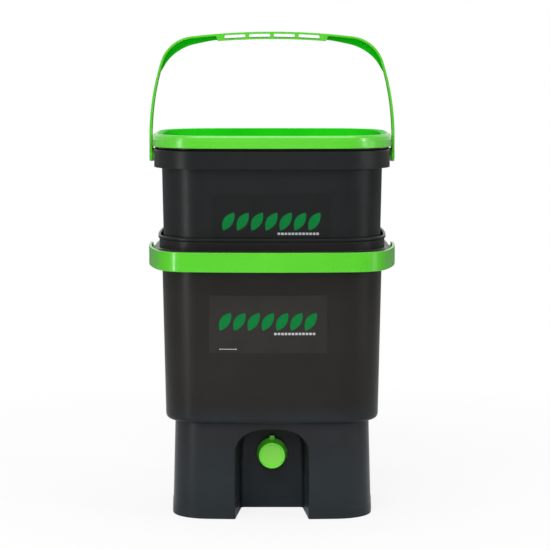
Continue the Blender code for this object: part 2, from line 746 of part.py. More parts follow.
def make_handle(material):
    """Bail handle: strip, corner webs, ladder grip, round ends and snap pins, about the pivot axis."""
    outer = bow_path()
    lengths = path_lengths(outer)
    total = lengths[-1]
    thinning = ARM_THICKNESS - STRIP_THICKNESS
    strip = [ARM_THICKNESS - thinning * blend(2 * length / total) for length in lengths]
    inner = inward_offset(outer, strip)
    half = HANDLE_WIDTH / 2
    handle = prism("handle", mirrored_band(outer, inner), -half, half, "y")
    handle.data.materials.append(material)
    web = web_half(outer, strip)
    for side in (-1, 1):
        outline = [(side * x, z) for x, z in web]
        fuse(handle, prism("web", outline, -WEB_THICKNESS / 2, WEB_THICKNESS / 2, "y"))
    grip_half = half - GRIP_SIDE_STEP
    fuse(handle, prism("grip", grip_outline(), -grip_half, grip_half, "y"))
    cut(handle, one_cutter("windows", grip_windows()))
    arm_inner = HANDLE_HALF_SPAN - ARM_THICKNESS
    pad_end = COLLAR_HALF_WIDTH + SEAT_GAP
    head_start = COLLAR_HALF_WIDTH - WALL - SEAT_GAP
    for side in (-1, 1):
        stages = [
            ("end", arm_end_outline(), arm_inner - ARM_END_STEP, HANDLE_HALF_SPAN + ARM_END_STEP / 3),
            ("pad", circle(PIVOT_PAD_RADIUS, PIN_STEPS), pad_end, arm_inner + ARM_THICKNESS / 2),
            ("pin", circle(PIN_RADIUS, PIN_STEPS), head_start - PIN_HEAD_LENGTH / 2, pad_end + SEAT_GAP),
            ("head", circle(PIN_HEAD_RADIUS, PIN_STEPS), head_start - PIN_HEAD_LENGTH, head_start),
        ]
        for name, outline, near, far in stages:
            low, high = sorted((side * near, side * far))
            fuse(handle, prism(name, outline, low, high, "x"))
    return handle


# Tap


def tap_places():
    """Places along the tap axis, measured forwards from the recess's back wall."""
    flange_back = 2 * SEAT_GAP + SEAL_THICKNESS
    flange_front = flange_back + FLANGE_THICKNESS
    return {
        "seal": SEAT_GAP,
        "flange_back": flange_back,
        "flange_front": flange_front,
        "housing_front": flange_front + HOUSING_LENGTH,
        "knob_back": flange_front + KNOB_RUNNING_GAP,
        "knob_front": flange_front + KNOB_RUNNING_GAP + KNOB_LENGTH,
        "inner_seal": -WALL - SEAT_GAP,
        "nut": -WALL - 2 * SEAT_GAP - INNER_SEAL_THICKNESS,
    }


def make_tap_body(material):
    """Tap body: barrel through the wall, flange and a closed housing with a port underneath."""
    at = tap_places()
    groove = at["flange_front"] + O_RING_SETBACK
    profile = [
        (BARREL_BORE_RADIUS, -BARREL_REACH),
        (BARREL_RADIUS, -BARREL_REACH),
        (BARREL_RADIUS, at["flange_back"]),
        (FLANGE_RADIUS, at["flange_back"]),
        (FLANGE_RADIUS, at["flange_front"]),
        (HOUSING_RADIUS, at["flange_front"]),
        (HOUSING_RADIUS, groove - GROOVE_WIDTH / 2),
        (HOUSING_RADIUS - GROOVE_DEPTH, groove - GROOVE_WIDTH / 2),
        (HOUSING_RADIUS - GROOVE_DEPTH, groove + GROOVE_WIDTH / 2),
        (HOUSING_RADIUS, groove + GROOVE_WIDTH / 2),
        (HOUSING_RADIUS, at["housing_front"]),
        (BARREL_BORE_RADIUS / 2, at["housing_front"]),
        (BARREL_BORE_RADIUS / 2, at["housing_front"] - HOUSING_END),
        (BARREL_BORE_RADIUS, at["housing_front"] - HOUSING_END),
    ]
    body = turned("tap_body", profile, material, True)
    plug = prism(
        "plug",
        circle(BARREL_BORE_RADIUS * 3 / 4, TURN_STEPS),
        -at["housing_front"] + SEAT_GAP,
        -at["housing_front"] + HOUSING_END - SEAT_GAP,
        "y",
    )
    fuse(body, plug)
    place = -at["flange_front"] - PORT_SETBACK
    port = circle(PORT_RADIUS, PIN_STEPS, (0.0, place))
    cut(body, prism("port", port, -HOUSING_RADIUS - CUT_OVERRUN, 0.0, "z"))
    return body


def washer(name, inner, outer, start, thickness, material, steps=TURN_STEPS):
    """A flat ring on the tap axis."""
    profile = [(inner, start), (outer, start), (outer, start + thickness), (inner, start + thickness)]
    return turned(name, profile, material, True, steps)


def make_tap_nut(material):
    """Six-sided nut with a round collar, on the inner end of the barrel."""
    at = tap_places()
    bore = BARREL_RADIUS + SEAT_GAP
    nut = prism("tap_nut", circle(NUT_RADIUS, 6), -at["nut"], -at["nut"] + NUT_THICKNESS, "y")
    nut.data.materials.append(material)
    collar_end = -at["nut"] + NUT_THICKNESS + NUT_COLLAR
    start = -at["nut"] + NUT_THICKNESS - NUT_COLLAR
    fuse(nut, prism("nut_collar", circle(NUT_COLLAR_RADIUS, TURN_STEPS), start, collar_end, "y"))
    low = -at["nut"] - CUT_OVERRUN
    high = collar_end + CUT_OVERRUN
    cut(nut, prism("nut_bore", circle(bore, TURN_STEPS), low, high, "y"))
    return nut


def make_o_ring(material):
    """Round rubber ring in the housing's groove."""
    at = tap_places()
    ring_radius = HOUSING_RADIUS - GROOVE_DEPTH + O_RING_RADIUS + SEAT_GAP / 2
    profile = circle(O_RING_RADIUS, RING_STEPS, (ring_radius, at["flange_front"] + O_RING_SETBACK))
    return turned("tap_o_ring", profile, material, True)


def make_tap_knob(material):
    """Turning knob: a cap over the housing with a dished face, a pointer and a port beside it."""
    at = tap_places()
    back = at["knob_back"]
    front = at["knob_front"]
    bore = HOUSING_RADIUS + KNOB_CLEARANCE
    bore_end = at["housing_front"] + KNOB_CLEARANCE
    groove = at["flange_front"] + O_RING_SETBACK
    profile = [
        (bore, bore_end),
        (bore, back),
        (KNOB_BACK_RADIUS - KNOB_EDGE_ROUND, back),
        (KNOB_BACK_RADIUS, back + KNOB_EDGE_ROUND),
        (KNOB_BACK_RADIUS, back + KNOB_BACK_BAND),
        (KNOB_FRONT_RADIUS, front - KNOB_EDGE_ROUND),
        (KNOB_FRONT_RADIUS - KNOB_EDGE_ROUND, front),
        (KNOB_FACE_RADIUS + KNOB_FACE_RECESS, front),
        (KNOB_FACE_RADIUS, front - KNOB_FACE_RECESS),
    ]
    knob = turned("tap_knob", profile, material, False)
    relief = HOUSING_RADIUS + 2 * O_RING_RADIUS - GROOVE_DEPTH + SEAT_GAP + KNOB_CLEARANCE
    cut(knob, washer("relief", BARREL_RADIUS, relief, groove - GROOVE_WIDTH / 2, GROOVE_WIDTH, material))
    half = POINTER_WIDTH / 2
    tip = KNOB_BACK_RADIUS + POINTER_HEIGHT
    root = KNOB_BACK_RADIUS - POINTER_HEIGHT / 2
    pointer = box("pointer", (-half, -back - POINTER_LENGTH, root), (half, -back - SEAT_GAP, tip))
    fuse(knob, pointer)
    place = -at["flange_front"] - PORT_SETBACK
    port = circle(PORT_RADIUS, PIN_STEPS, (0.0, place))
    cut(knob, prism("port", port, 0.0, KNOB_BACK_RADIUS + POINTER_HEIGHT / 2, "z"))
    return knob


# Front label


def make_label(material, shift):
    """Thin film on the front of the body, following its bow and draft, a little off the middle."""
    mesh_data = bmesh.new()
    loops = []
    for i in range(LABEL_STEPS + 1):
        x = shift + LABEL_WIDTH * (i / LABEL_STEPS - 1 / 2)
        loop = []
        for z in (LABEL_TOP, LABEL_BOTTOM):
            loop.append((x, -front_surface(x, body_inset(z)) - SEAT_GAP, z))
        for z in (LABEL_BOTTOM, LABEL_TOP):
            loop.append((x, -front_surface(x, body_inset(z)) - SEAT_GAP - LABEL_THICKNESS, z))
        loops.append(loop)
    loft_loops(mesh_data, loops, True)
    return new_object("label", mesh_data, material)


# Assembly


def empty(name, location, parent=None):
    """A frame that pieces are placed in."""
    frame = bpy.data.objects.new(name, None)
    bpy.context.scene.collection.objects.link(frame)
    frame.location = location
    frame.parent = parent
    return frame


def place(source, name, parent, rotation=(0.0, 0.0, 0.0)):
    """A named copy of a piece in a frame, sharing the piece's mesh."""
    piece = bpy.data.objects.new(name, source.data)
    bpy.context.scene.collection.objects.link(piece)
    piece.parent = parent
    piece.rotation_euler = rotation
    return piece


def shade(obj):
    """Smooth shading with crisp edges."""
    obj.data.shade_smooth()
    obj.data.set_sharp_from_angle(angle=math.radians(35))


def assemble_bin(prefix, pieces, rise, handle_angle):
    """Place one bin's pieces. At an angle of 0 the handle stands up, and a positive one folds it forwards."""
    bin_frame = empty(prefix + "_bin_frame", (0.0, CENTRE_Y, rise))
    pivot = empty(prefix + "_handle_pivot", (0.0, 0.0, PIVOT_HEIGHT), bin_frame)
    tap_axis = empty(prefix + "_tap_axis", (0.0, -recess_back(), TAP_HEIGHT), bin_frame)
    for name in ("base", "bucket", "strainer"):
        place(pieces[name], f"{prefix}_{name}", bin_frame)
    place(pieces[prefix + "_label"], prefix + "_label", bin_frame)
    place(pieces["handle"], prefix + "_handle", pivot, (handle_angle, 0.0, 0.0))
    for name in ("tap_body", "tap_seal", "tap_inner_seal", "tap_nut", "tap_o_ring", "tap_knob"):
        place(pieces[name], f"{prefix}_{name}", tap_axis)
    return bin_frame


def main():
    clear_scene()
    black = make_material("black_plastic", (0.022, 0.023, 0.025), 0.38)
    green = make_material("green_plastic", (0.13, 0.62, 0.05), 0.35)
    rubber = make_material("black_rubber", (0.012, 0.012, 0.013), 0.7)
    film = make_material("label_film", (0.028, 0.026, 0.025), 0.3)
    at = tap_places()
    pieces = {
        "base": make_base(black),
        "bucket": make_bucket(black),
        "strainer": make_strainer(black),
        "handle": make_handle(green),
        "tap_body": make_tap_body(black),
        "tap_seal": washer(
            "tap_seal", BARREL_RADIUS + SEAT_GAP, SEAL_RADIUS, at["seal"], SEAL_THICKNESS, rubber
        ),
        "tap_inner_seal": washer(
            "tap_inner_seal",
            BARREL_RADIUS + SEAT_GAP,
            INNER_SEAL_RADIUS,
            at["inner_seal"] - INNER_SEAL_THICKNESS,
            INNER_SEAL_THICKNESS,
            rubber,
        ),
        "tap_nut": make_tap_nut(black),
        "tap_o_ring": make_o_ring(rubber),
        "tap_knob": make_tap_knob(green),
        "lower_label": make_label(film, LOWER_LABEL_SHIFT),
        "upper_label": make_label(film, UPPER_LABEL_SHIFT),
    }
    lid = make_lid(green)
    for piece in [*pieces.values(), lid]:
        shade(piece)
    assemble_bin("lower", pieces, 0.0, math.pi / 2)
    upper = assemble_bin("upper", pieces, NEST_RISE, 0.0)
    place(lid, "upper_lid", upper)
    for piece in [*pieces.values(), lid]:
        bpy.data.objects.remove(piece)
    bpy.context.view_layer.update()


main()
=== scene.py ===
"""Looks for two nested kitchen compost bins: smooth moulded shells, plastics, label films, light and camera.

Lengths are in metres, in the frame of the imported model. Each piece is modelled about the centre of its
own bin's plan at the foot, and is then moved to its place.
"""

import math

import bmesh
import bpy
from mathutils import Matrix, Vector


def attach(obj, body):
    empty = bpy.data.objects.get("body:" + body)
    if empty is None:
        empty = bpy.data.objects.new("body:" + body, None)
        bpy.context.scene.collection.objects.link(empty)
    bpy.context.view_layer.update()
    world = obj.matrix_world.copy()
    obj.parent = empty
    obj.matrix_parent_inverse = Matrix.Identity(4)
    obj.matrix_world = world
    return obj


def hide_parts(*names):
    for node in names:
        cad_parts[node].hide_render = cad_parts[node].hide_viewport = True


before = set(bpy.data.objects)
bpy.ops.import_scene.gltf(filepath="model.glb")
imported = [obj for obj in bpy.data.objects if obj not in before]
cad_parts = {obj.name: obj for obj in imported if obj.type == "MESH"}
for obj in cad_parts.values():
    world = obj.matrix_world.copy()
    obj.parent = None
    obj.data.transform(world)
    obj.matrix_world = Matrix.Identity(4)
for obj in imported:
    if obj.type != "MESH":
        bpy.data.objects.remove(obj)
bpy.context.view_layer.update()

MM = 0.001

# Sizes shared with the solids
SEAT_GAP = 0.3 * MM
OVERRUN = 6.0 * MM
WALL = 2.5 * MM
RIM_HALF_WIDTH = 155.4 * MM
RIM_HALF_DEPTH = 129.9 * MM
CORNER_RADIUS = 70.0 * MM
SIDE_BOW_RADIUS = 950.0 * MM
FRONT_BOW_RADIUS = 1200.0 * MM
RIM_TOP = 381.0 * MM
BODY_BOTTOM = 131.0 * MM
COLLAR_DROP = 17.7 * MM
COLLAR_HEIGHT = 24.5 * MM
COLLAR_TOP = RIM_TOP - COLLAR_DROP
COLLAR_BOTTOM = COLLAR_TOP - COLLAR_HEIGHT
SUMP_FLOOR = 57.5 * MM
SUMP_DRAFT = 0.6 * MM
FOOT_BAND = 14.7 * MM
FOOT_BAND_STEP = 0.6 * MM
MOUTH_INSET = 4.0 * MM
NECK_INSET = 1.5 * MM
COLLAR_OVERHANG = 5.0 * MM
BODY_TOP_INSET = 4.7 * MM
BASE_TOP_INSET = 22.3 * MM
BASE_FLARE = 3.5 * MM
LEDGE_TOP = BODY_BOTTOM + WALL
NEST_RISE = LEDGE_TOP + SEAT_GAP
BODY_DRAFT = (WALL + SEAT_GAP) * (COLLAR_TOP - BODY_BOTTOM) / NEST_RISE
PIVOT_RAISE = 1.5 * MM
PIVOT_HEIGHT = (COLLAR_TOP + COLLAR_BOTTOM) / 2 + PIVOT_RAISE
COLLAR_HALF_WIDTH = RIM_HALF_WIDTH + COLLAR_OVERHANG
BEAD_HEIGHT = 5.0 * MM
MOUTH_STEP_HEIGHT = 10.0 * MM

ARCH_HALF_WIDTH = 49.75 * MM
ARCH_TOP = 122.0 * MM
ARCH_SPRING = 87.0 * MM
ARCH_EXPONENT = 2.3
RECESS_DEPTH = 80.0 * MM
RECESS_BACK_HALF_WIDTH = 43.0 * MM
RECESS_BACK_TOP = 114.0 * MM
RECESS_BACK_ROUND = 5.0 * MM
TAP_HEIGHT = 78.1 * MM
BORE_RADIUS = 11.0 * MM

LID_OVERHANG = 7.3 * MM
LID_WALL = 1.8 * MM
LID_FIT = 0.5 * MM
LID_SKIRT_HEIGHT = 14.7 * MM
LID_SKIRT_DRAFT = 0.5 * MM
LID_TRAY_DEPTH = 17.0 * MM
LID_TRAY_DRAFT = 2.2 * MM
LID_CHANNEL = RIM_TOP + SEAT_GAP
LID_TOP = LID_CHANNEL + LID_WALL
LID_SKIRT_BOTTOM = LID_CHANNEL - LID_SKIRT_HEIGHT
LID_TRAY = LID_TOP - LID_TRAY_DEPTH

ARM_STANDOFF = 3.5 * MM
ARM_THICKNESS = 3.7 * MM
STRIP_THICKNESS = 3.2 * MM
HANDLE_HALF_SPAN = COLLAR_HALF_WIDTH + ARM_STANDOFF + ARM_THICKNESS
HANDLE_HALF_WIDTH = 13.0 * MM
GRIP_HEIGHT = 10.2 * MM
FOLDED_GAP = 22.4 * MM
HANDLE_RISE = RIM_HALF_DEPTH + COLLAR_OVERHANG + FOLDED_GAP + GRIP_HEIGHT
ARM_UPRIGHT = 24.0 * MM
ARM_BOW_RADIUS = 340.0 * MM
BOW_CORNER_RADIUS = 50.0 * MM
BOW_TOP_RADIUS = 950.0 * MM
GRIP_LENGTH = 147.0 * MM
WEB_RUN_DOWN = 18.0 * MM
WEB_PEAK_SHARE = 0.7
WEB_CORNER_DEPTH = 9.4 * MM
WEB_TOP_DEPTH = 5.3 * MM
WEB_HALF_THICKNESS = 1.5 * MM
GRIP_END_LAND = 8.5 * MM
GRIP_RIB = 5.0 * MM
GRIP_WINDOWS = 4
GRIP_SLANT = 4.0 * MM
GRIP_SKIN = 2.5 * MM
GRIP_SIDE_STEP = 0.4 * MM
ARM_END_RADIUS = 13.4 * MM
ARM_END_DROP = 9.6 * MM
ARM_END_STEP = 0.6 * MM
PIVOT_PAD_RADIUS = 9.0 * MM
PIN_RADIUS = 5.0 * MM
PIN_CLEARANCE = 0.4 * MM
PIN_HEAD_RADIUS = 6.4 * MM
PIN_HEAD_LENGTH = 3.0 * MM

LID_HALF_DEPTH = RIM_HALF_DEPTH + LID_OVERHANG + LID_SKIRT_DRAFT
CENTRE_Y = (HANDLE_RISE - LID_HALF_DEPTH) / 2


# Shared curves

SIDE_STEPS = 8
TURN_STEPS = 16
FRONT_STEPS = 10
# Share of a straight that one rounding may take
LARGEST_REACH = 0.48


def touching_centre(first, first_radius, second, second_radius, radius):
    """Centre of a circle that touches two larger circles from inside, on the upper right."""
    reach_first = first_radius - radius
    reach_second = second_radius - radius
    across = second - first
    distance = across.length
    along = (reach_first**2 - reach_second**2 + distance**2) / (2 * distance)
    offset = math.sqrt(reach_first**2 - along**2)
    direction = across / distance
    normal = Vector((-direction.y, direction.x))
    candidates = [first + direction * along + normal * s for s in (offset, -offset)]
    return max(candidates, key=lambda p: p.x + p.y)


def arc_points(centre, radius, start, end, steps):
    """Points on an arc in the plane, both ends included."""
    angles = [start + (end - start) * i / steps for i in range(steps + 1)]
    return [(centre[0] + radius * math.cos(a), centre[1] + radius * math.sin(a)) for a in angles]


def plan_outline(inset):
    """The closed plan outline at an inset from the rim bead, anticlockwise from +X."""
    side_centre = Vector((RIM_HALF_WIDTH - SIDE_BOW_RADIUS, 0.0))
    front_centre = Vector((0.0, RIM_HALF_DEPTH - FRONT_BOW_RADIUS))
    corner = touching_centre(side_centre, SIDE_BOW_RADIUS, front_centre, FRONT_BOW_RADIUS, CORNER_RADIUS)
    side_end = math.atan2(corner.y, corner.x - side_centre.x)
    front_start = math.atan2(corner.y - front_centre.y, corner.x)
    side = arc_points(side_centre, SIDE_BOW_RADIUS - inset, 0.0, side_end, SIDE_STEPS)
    turn = arc_points(corner, CORNER_RADIUS - inset, side_end, front_start, TURN_STEPS)
    front = arc_points(front_centre, FRONT_BOW_RADIUS - inset, front_start, math.pi / 2, FRONT_STEPS)
    quarter = side + turn[1:] + front[1:]
    left = [(-x, y) for x, y in reversed(quarter[:-1])]
    half = quarter + left
    return half + [(x, -y) for x, y in reversed(half[1:-1])]


def front_surface(x, inset):
    """Distance from the centre to the front surface of a given inset, at a place across."""
    return RIM_HALF_DEPTH - FRONT_BOW_RADIUS + math.sqrt((FRONT_BOW_RADIUS - inset) ** 2 - x**2)


def circle(radius, steps, centre=(0.0, 0.0)):
    """A closed circle of points."""
    angles = [2 * math.pi * i / steps for i in range(steps)]
    return [(centre[0] + radius * math.cos(a), centre[1] + radius * math.sin(a)) for a in angles]


def quarter_turn(steps):
    """Angles of a quarter turn, both ends included."""
    return [math.pi / 2 * i / steps for i in range(steps + 1)]


def rounded(corners, steps=4, closed=False):
    """A line through (u, v, radius) corners with each corner rounded off."""
    count = len(corners)
    line = []
    for i, (u, v, radius) in enumerate(corners):
        here = Vector((u, v))
        if radius <= 0 or (not closed and i in (0, count - 1)):
            line.append((u, v))
            continue
        before = Vector(corners[i - 1][:2]) - here
        after = Vector(corners[(i + 1) % count][:2]) - here
        angle = before.angle(after)
        longest = LARGEST_REACH * min(before.length, after.length)
        reach = min(radius / math.tan(angle / 2), longest)
        radius = reach * math.tan(angle / 2)
        start = here + before.normalized() * reach
        end = here + after.normalized() * reach
        middle = (before.normalized() + after.normalized()).normalized()
        centre = here + middle * (radius / math.sin(angle / 2))
        first = math.atan2(start.y - centre.y, start.x - centre.x)
        turn = math.atan2(end.y - centre.y, end.x - centre.x) - first
        turn = (turn + math.pi) % (2 * math.pi) - math.pi
        for k in range(steps + 1):
            spoke = first + turn * k / steps
            line.append((centre.x + radius * math.cos(spoke), centre.y + radius * math.sin(spoke)))
    return line


def held(line, edge, step):
    """Extra points on long straight stretches: close to both ends, and evenly between."""
    result = [line[0]]
    for a, b in zip(line, line[1:]):
        a, b = Vector(a), Vector(b)
        length = (b - a).length
        if length > 4 * edge:
            inner = length - 2 * edge
            pieces = max(1, math.ceil(inner / step))
            for i in range(pieces + 1):
                result.append(tuple(a.lerp(b, (edge + inner * i / pieces) / length)))
        result.append(tuple(b))
    return result


# Mesh building

BEVEL_ANGLE = 50.0
SHARP_ANGLE = 35.0


def new_object(name, mesh_data):
    """Link a mesh made from a bmesh, faces pointing out."""
    bmesh.ops.recalc_face_normals(mesh_data, faces=mesh_data.faces)
    mesh = bpy.data.meshes.new(name)
    mesh_data.to_mesh(mesh)
    mesh_data.free()
    obj = bpy.data.objects.new(name, mesh)
    bpy.context.scene.collection.objects.link(obj)
    return obj


def loft(name, loops, cap_ends=True):
    """Join loops of points of equal count with quads, and close the first and last, or join them."""
    mesh_data = bmesh.new()
    rings = [[mesh_data.verts.new(p) for p in loop] for loop in loops]
    pairs = list(zip(rings, rings[1:]))
    if not cap_ends:
        pairs.append((rings[-1], rings[0]))
    for lower, upper in pairs:
        count = len(lower)
        for i in range(count):
            j = (i + 1) % count
            mesh_data.faces.new((lower[i], lower[j], upper[j], upper[i]))
    if cap_ends:
        mesh_data.faces.new(list(reversed(rings[0])))
        mesh_data.faces.new(rings[-1])
    return new_object(name, mesh_data)


def shell(name, profile):
    """Loft a closed body from (inset, height) pairs between two flat caps."""
    return loft(name, [[(x, y, z) for x, y in plan_outline(inset)] for inset, z in profile])


def prism(name, outline, low, high, axis):
    """Extrude a closed outline of (u, v) points between two places along an axis."""
    put = {
        "x": lambda u, v, w: (w, u, v),
        "y": lambda u, v, w: (u, w, v),
        "z": lambda u, v, w: (u, v, w),
    }[axis]
    return loft(name, [[put(u, v, w) for u, v in outline] for w in (low, high)])


def turned(name, profile, cap_ends, steps=64):
    """Turn a section of (radius, place) pairs about the tap axis, which points to -Y."""
    loops = [[(u, -place, v) for u, v in circle(radius, steps)] for radius, place in profile]
    return loft(name, loops, cap_ends)


def combine(target, other, operation):
    """Apply a Boolean to the target and remove the other object."""
    modifier = target.modifiers.new("combine", "BOOLEAN")
    modifier.operation = operation
    modifier.solver = "EXACT"
    modifier.object = other
    bake(target)
    bpy.data.objects.remove(other)
    return target


def bake(target):
    """Apply the target's modifiers."""
    bpy.context.view_layer.update()
    evaluated = target.evaluated_get(bpy.context.evaluated_depsgraph_get())
    result = bpy.data.meshes.new_from_object(evaluated)
    target.modifiers.clear()
    target.data = result


def cut(target, cutter):
    """Take the cutter's volume out of the target."""
    return combine(target, cutter, "DIFFERENCE")


def fuse(target, other):
    """Add the other object's volume to the target."""
    return combine(target, other, "UNION")


def soften(obj, width, segments=2):
    """Bevel the crisp edges and shade the whole smoothly."""
    bevel = obj.modifiers.new("soft_edges", "BEVEL")
    bevel.width = width
    bevel.segments = segments
    bevel.limit_method = "ANGLE"
    bevel.angle_limit = math.radians(BEVEL_ANGLE)
    bevel.use_clamp_overlap = True
    bake(obj)
    smooth(obj)


def smooth(obj):
    """Smooth shading led by the large faces, with crisp edges kept."""
    obj.data.shade_smooth()
    obj.data.set_sharp_from_angle(angle=math.radians(SHARP_ANGLE))
    weigh = obj.modifiers.new("weigh", "WEIGHTED_NORMAL")
    weigh.keep_sharp = True
    bake(obj)


# Bucket

FOOT_INNER_ROUND = 0.5 * MM
FOOT_ROUND = 1.0 * MM
BAND_LOW_ROUND = 0.4 * MM
BAND_TOP_ROUND = 0.3 * MM
BASE_JOIN_ROUND = 1.2 * MM
BODY_FLOOR_RADIUS = 11.5 * MM
BODY_FLOOR_INNER_RADIUS = 7.5 * MM
COLLAR_WEB_ROUND = 1.0 * MM
COLLAR_FLARE = 0.3 * MM
COLLAR_LEAN = 0.2 * MM
COLLAR_INNER_ROUND = 0.5 * MM
COLLAR_LOW_ROUND = 0.6 * MM
COLLAR_TOP_ROUND = 1.6 * MM
NECK_ROUND = 1.2 * MM
BEAD_LOW_ROUND = 0.8 * MM
BEAD_ROUND = 1.8 * MM
MOUTH_ROUND = 1.4 * MM
MOUTH_STEP_ROUND = 3.0 * MM
LEDGE_ROUND = 1.5 * MM
BUCKET_EDGE_HOLD = 1.2 * MM
BUCKET_LOOP_STEP = 24.0 * MM
ARCH_STEPS = 44
ARCH_LIP = 2.2 * MM
ARCH_LIP_START = 3.0 * MM
RECESS_WALL_BOTTOM = 0.5 * MM


def body_inset(z):
    """Inset of the drafted outer wall of the body."""
    return BODY_TOP_INSET + BODY_DRAFT * (COLLAR_TOP - z) / (COLLAR_TOP - BODY_BOTTOM)


def base_inset(z):
    """Inset of the outer wall of the base, which widens towards the floor."""
    return BASE_TOP_INSET - BASE_FLARE * (BODY_BOTTOM - z) / BODY_BOTTOM


def bucket_profile():
    """The section of the bucket, from under the sump floor, round the foot and rim, to the sump floor."""
    foot = base_inset(0.0) - FOOT_BAND_STEP
    band = base_inset(FOOT_BAND)
    under = SUMP_FLOOR - WALL
    web = COLLAR_TOP - WALL
    skirt = -COLLAR_OVERHANG + WALL
    low = body_inset(BODY_BOTTOM)
    neck_top = RIM_TOP - BEAD_HEIGHT
    step = COLLAR_TOP - MOUTH_STEP_HEIGHT
    ledge = BASE_TOP_INSET + WALL
    corners = [
        (base_inset(under) + WALL, under, 0),
        (foot + WALL, 0.0, FOOT_INNER_ROUND),
        (foot, 0.0, FOOT_ROUND),
        (band - FOOT_BAND_STEP, FOOT_BAND - FOOT_BAND_STEP / 2, BAND_LOW_ROUND),
        (band, FOOT_BAND, BAND_TOP_ROUND),
        (base_inset(BODY_BOTTOM), BODY_BOTTOM, BASE_JOIN_ROUND),
        (low, BODY_BOTTOM, BODY_FLOOR_RADIUS),
        (body_inset(web), web, COLLAR_WEB_ROUND),
        (skirt, web, COLLAR_WEB_ROUND),
        (skirt - COLLAR_FLARE, COLLAR_BOTTOM, COLLAR_INNER_ROUND),
        (-COLLAR_OVERHANG - COLLAR_FLARE, COLLAR_BOTTOM, COLLAR_LOW_ROUND),
        (-COLLAR_OVERHANG + COLLAR_LEAN, COLLAR_TOP, COLLAR_TOP_ROUND),
        (NECK_INSET, COLLAR_TOP, NECK_ROUND),
        (NECK_INSET, neck_top, BEAD_LOW_ROUND),
        (0.0, neck_top + NECK_INSET, BEAD_LOW_ROUND),
        (0.0, RIM_TOP, BEAD_ROUND),
        (MOUTH_INSET, RIM_TOP, MOUTH_ROUND),
        (MOUTH_INSET, COLLAR_TOP, MOUTH_STEP_ROUND),
        (body_inset(step) + WALL, step, MOUTH_STEP_ROUND),
        (low + WALL, LEDGE_TOP, BODY_FLOOR_INNER_RADIUS),
        (ledge, LEDGE_TOP, LEDGE_ROUND),
        (ledge + SUMP_DRAFT, SUMP_FLOOR, 0),
    ]
    return held(rounded(corners, 6), BUCKET_EDGE_HOLD, BUCKET_LOOP_STEP)


def arch_outline(half_width, top, bottom):
    """An arch of (x, z) points: straight sides and a squarish half ellipse on top."""
    middle = (bottom + ARCH_SPRING) / 2
    power = 2 / ARCH_EXPONENT
    points = [(-half_width, bottom), (-half_width, middle)]
    for i in range(ARCH_STEPS + 1):
        angle = math.pi * (1 - i / ARCH_STEPS)
        across = math.copysign(abs(math.cos(angle)) ** power, math.cos(angle))
        height = ARCH_SPRING + (top - ARCH_SPRING) * math.sin(angle) ** power
        points.append((half_width * across, height))
    return points + [(half_width, middle), (half_width, bottom)]


def recess_back():
    """Distance in front of the centre of the outer face of the recess's back wall."""
    return front_surface(0.0, base_inset(TAP_HEIGHT)) - RECESS_DEPTH


def recess_block(name, margin, bottom, lip):
    """The recess as a solid from a front arch to a narrower back arch. A lip flares its front edge."""
    back = recess_back()
    stations = []
    if lip:
        stations.append((ARCH_LIP_START, ARCH_HALF_WIDTH + margin + lip, ARCH_TOP + margin + lip))
        for angle in quarter_turn(6):
            grow = lip * (1 - math.sin(angle))
            depth = lip * (1 - math.cos(angle))
            stations.append((-depth, ARCH_HALF_WIDTH + margin + grow, ARCH_TOP + margin + grow))
    else:
        stations.append((-WALL / 2, ARCH_HALF_WIDTH + margin, ARCH_TOP + margin))
    loops = []
    for shift, half_width, top in stations:
        loop = []
        for x, z in arch_outline(half_width, top, bottom):
            loop.append((x, -front_surface(x, base_inset(max(z, 0.0))) - shift, z))
        loops.append(loop)
    for angle in quarter_turn(8):
        draw = RECESS_BACK_ROUND * (1 - math.cos(angle))
        place = back - margin + (RECESS_BACK_ROUND + margin) * (1 - math.sin(angle))
        half_width = RECESS_BACK_HALF_WIDTH + margin - draw
        outline = arch_outline(half_width, RECESS_BACK_TOP + margin - draw, bottom)
        loops.append([(x, -place, z) for x, z in outline])
    return loft(name, loops)


def make_bucket(name):
    """Bucket in one moulding: rim, collar, body and flared base, with the arched recess let into it."""
    bucket = shell(name, bucket_profile())
    fuse(bucket, recess_block("recess_wall", WALL, RECESS_WALL_BOTTOM, 0.0))
    cut(bucket, recess_block("recess_low", -FOOT_BAND_STEP, -OVERRUN, ARCH_LIP))
    cut(bucket, recess_block("recess_high", 0.0, FOOT_BAND - FOOT_BAND_STEP / 2, ARCH_LIP))
    back = recess_back()
    bore = circle(BORE_RADIUS, 48, (0.0, TAP_HEIGHT))
    cut(bucket, prism("bore", bore, -back - OVERRUN, -back + WALL + OVERRUN, "y"))
    hole = circle(PIN_RADIUS + PIN_CLEARANCE, 32, (0.0, PIVOT_HEIGHT))
    for side in (-1, 1):
        places = sorted((side * (COLLAR_HALF_WIDTH - WALL - SEAT_GAP), side * (COLLAR_HALF_WIDTH + OVERRUN)))
        cut(bucket, prism("hole", hole, *places, "x"))
    smooth(bucket)
    return bucket


# Lid

TRAY_REACH = 40.0 * MM
TRAY_ROUND = 3.0 * MM
TRAY_UNDER_ROUND = 2.0 * MM
LAND_ROUND = 2.5 * MM
LAND_EDGE = 0.5 * MM
BROW_REACH = 3.4 * MM
BROW_ROUND = 1.6 * MM
SHOULDER_REACH = 6.2 * MM
SHOULDER_DROP = 2.6 * MM
SHOULDER_ROUND = 2.0 * MM
SKIRT_START = 7.0 * MM
SKIRT_START_ROUND = 4.0 * MM
SKIRT_OUTER_ROUND = 0.7 * MM
SKIRT_INNER_ROUND = 0.5 * MM
SKIRT_INNER_START = 9.0 * MM
CHANNEL_SLOPE = 2.6 * MM
CHANNEL_SLOPE_ROUND = 1.0 * MM
CHANNEL_ROUND = 0.5 * MM
LID_EDGE_HOLD = 1.0 * MM
LID_LOOP_STEP = 12.0 * MM


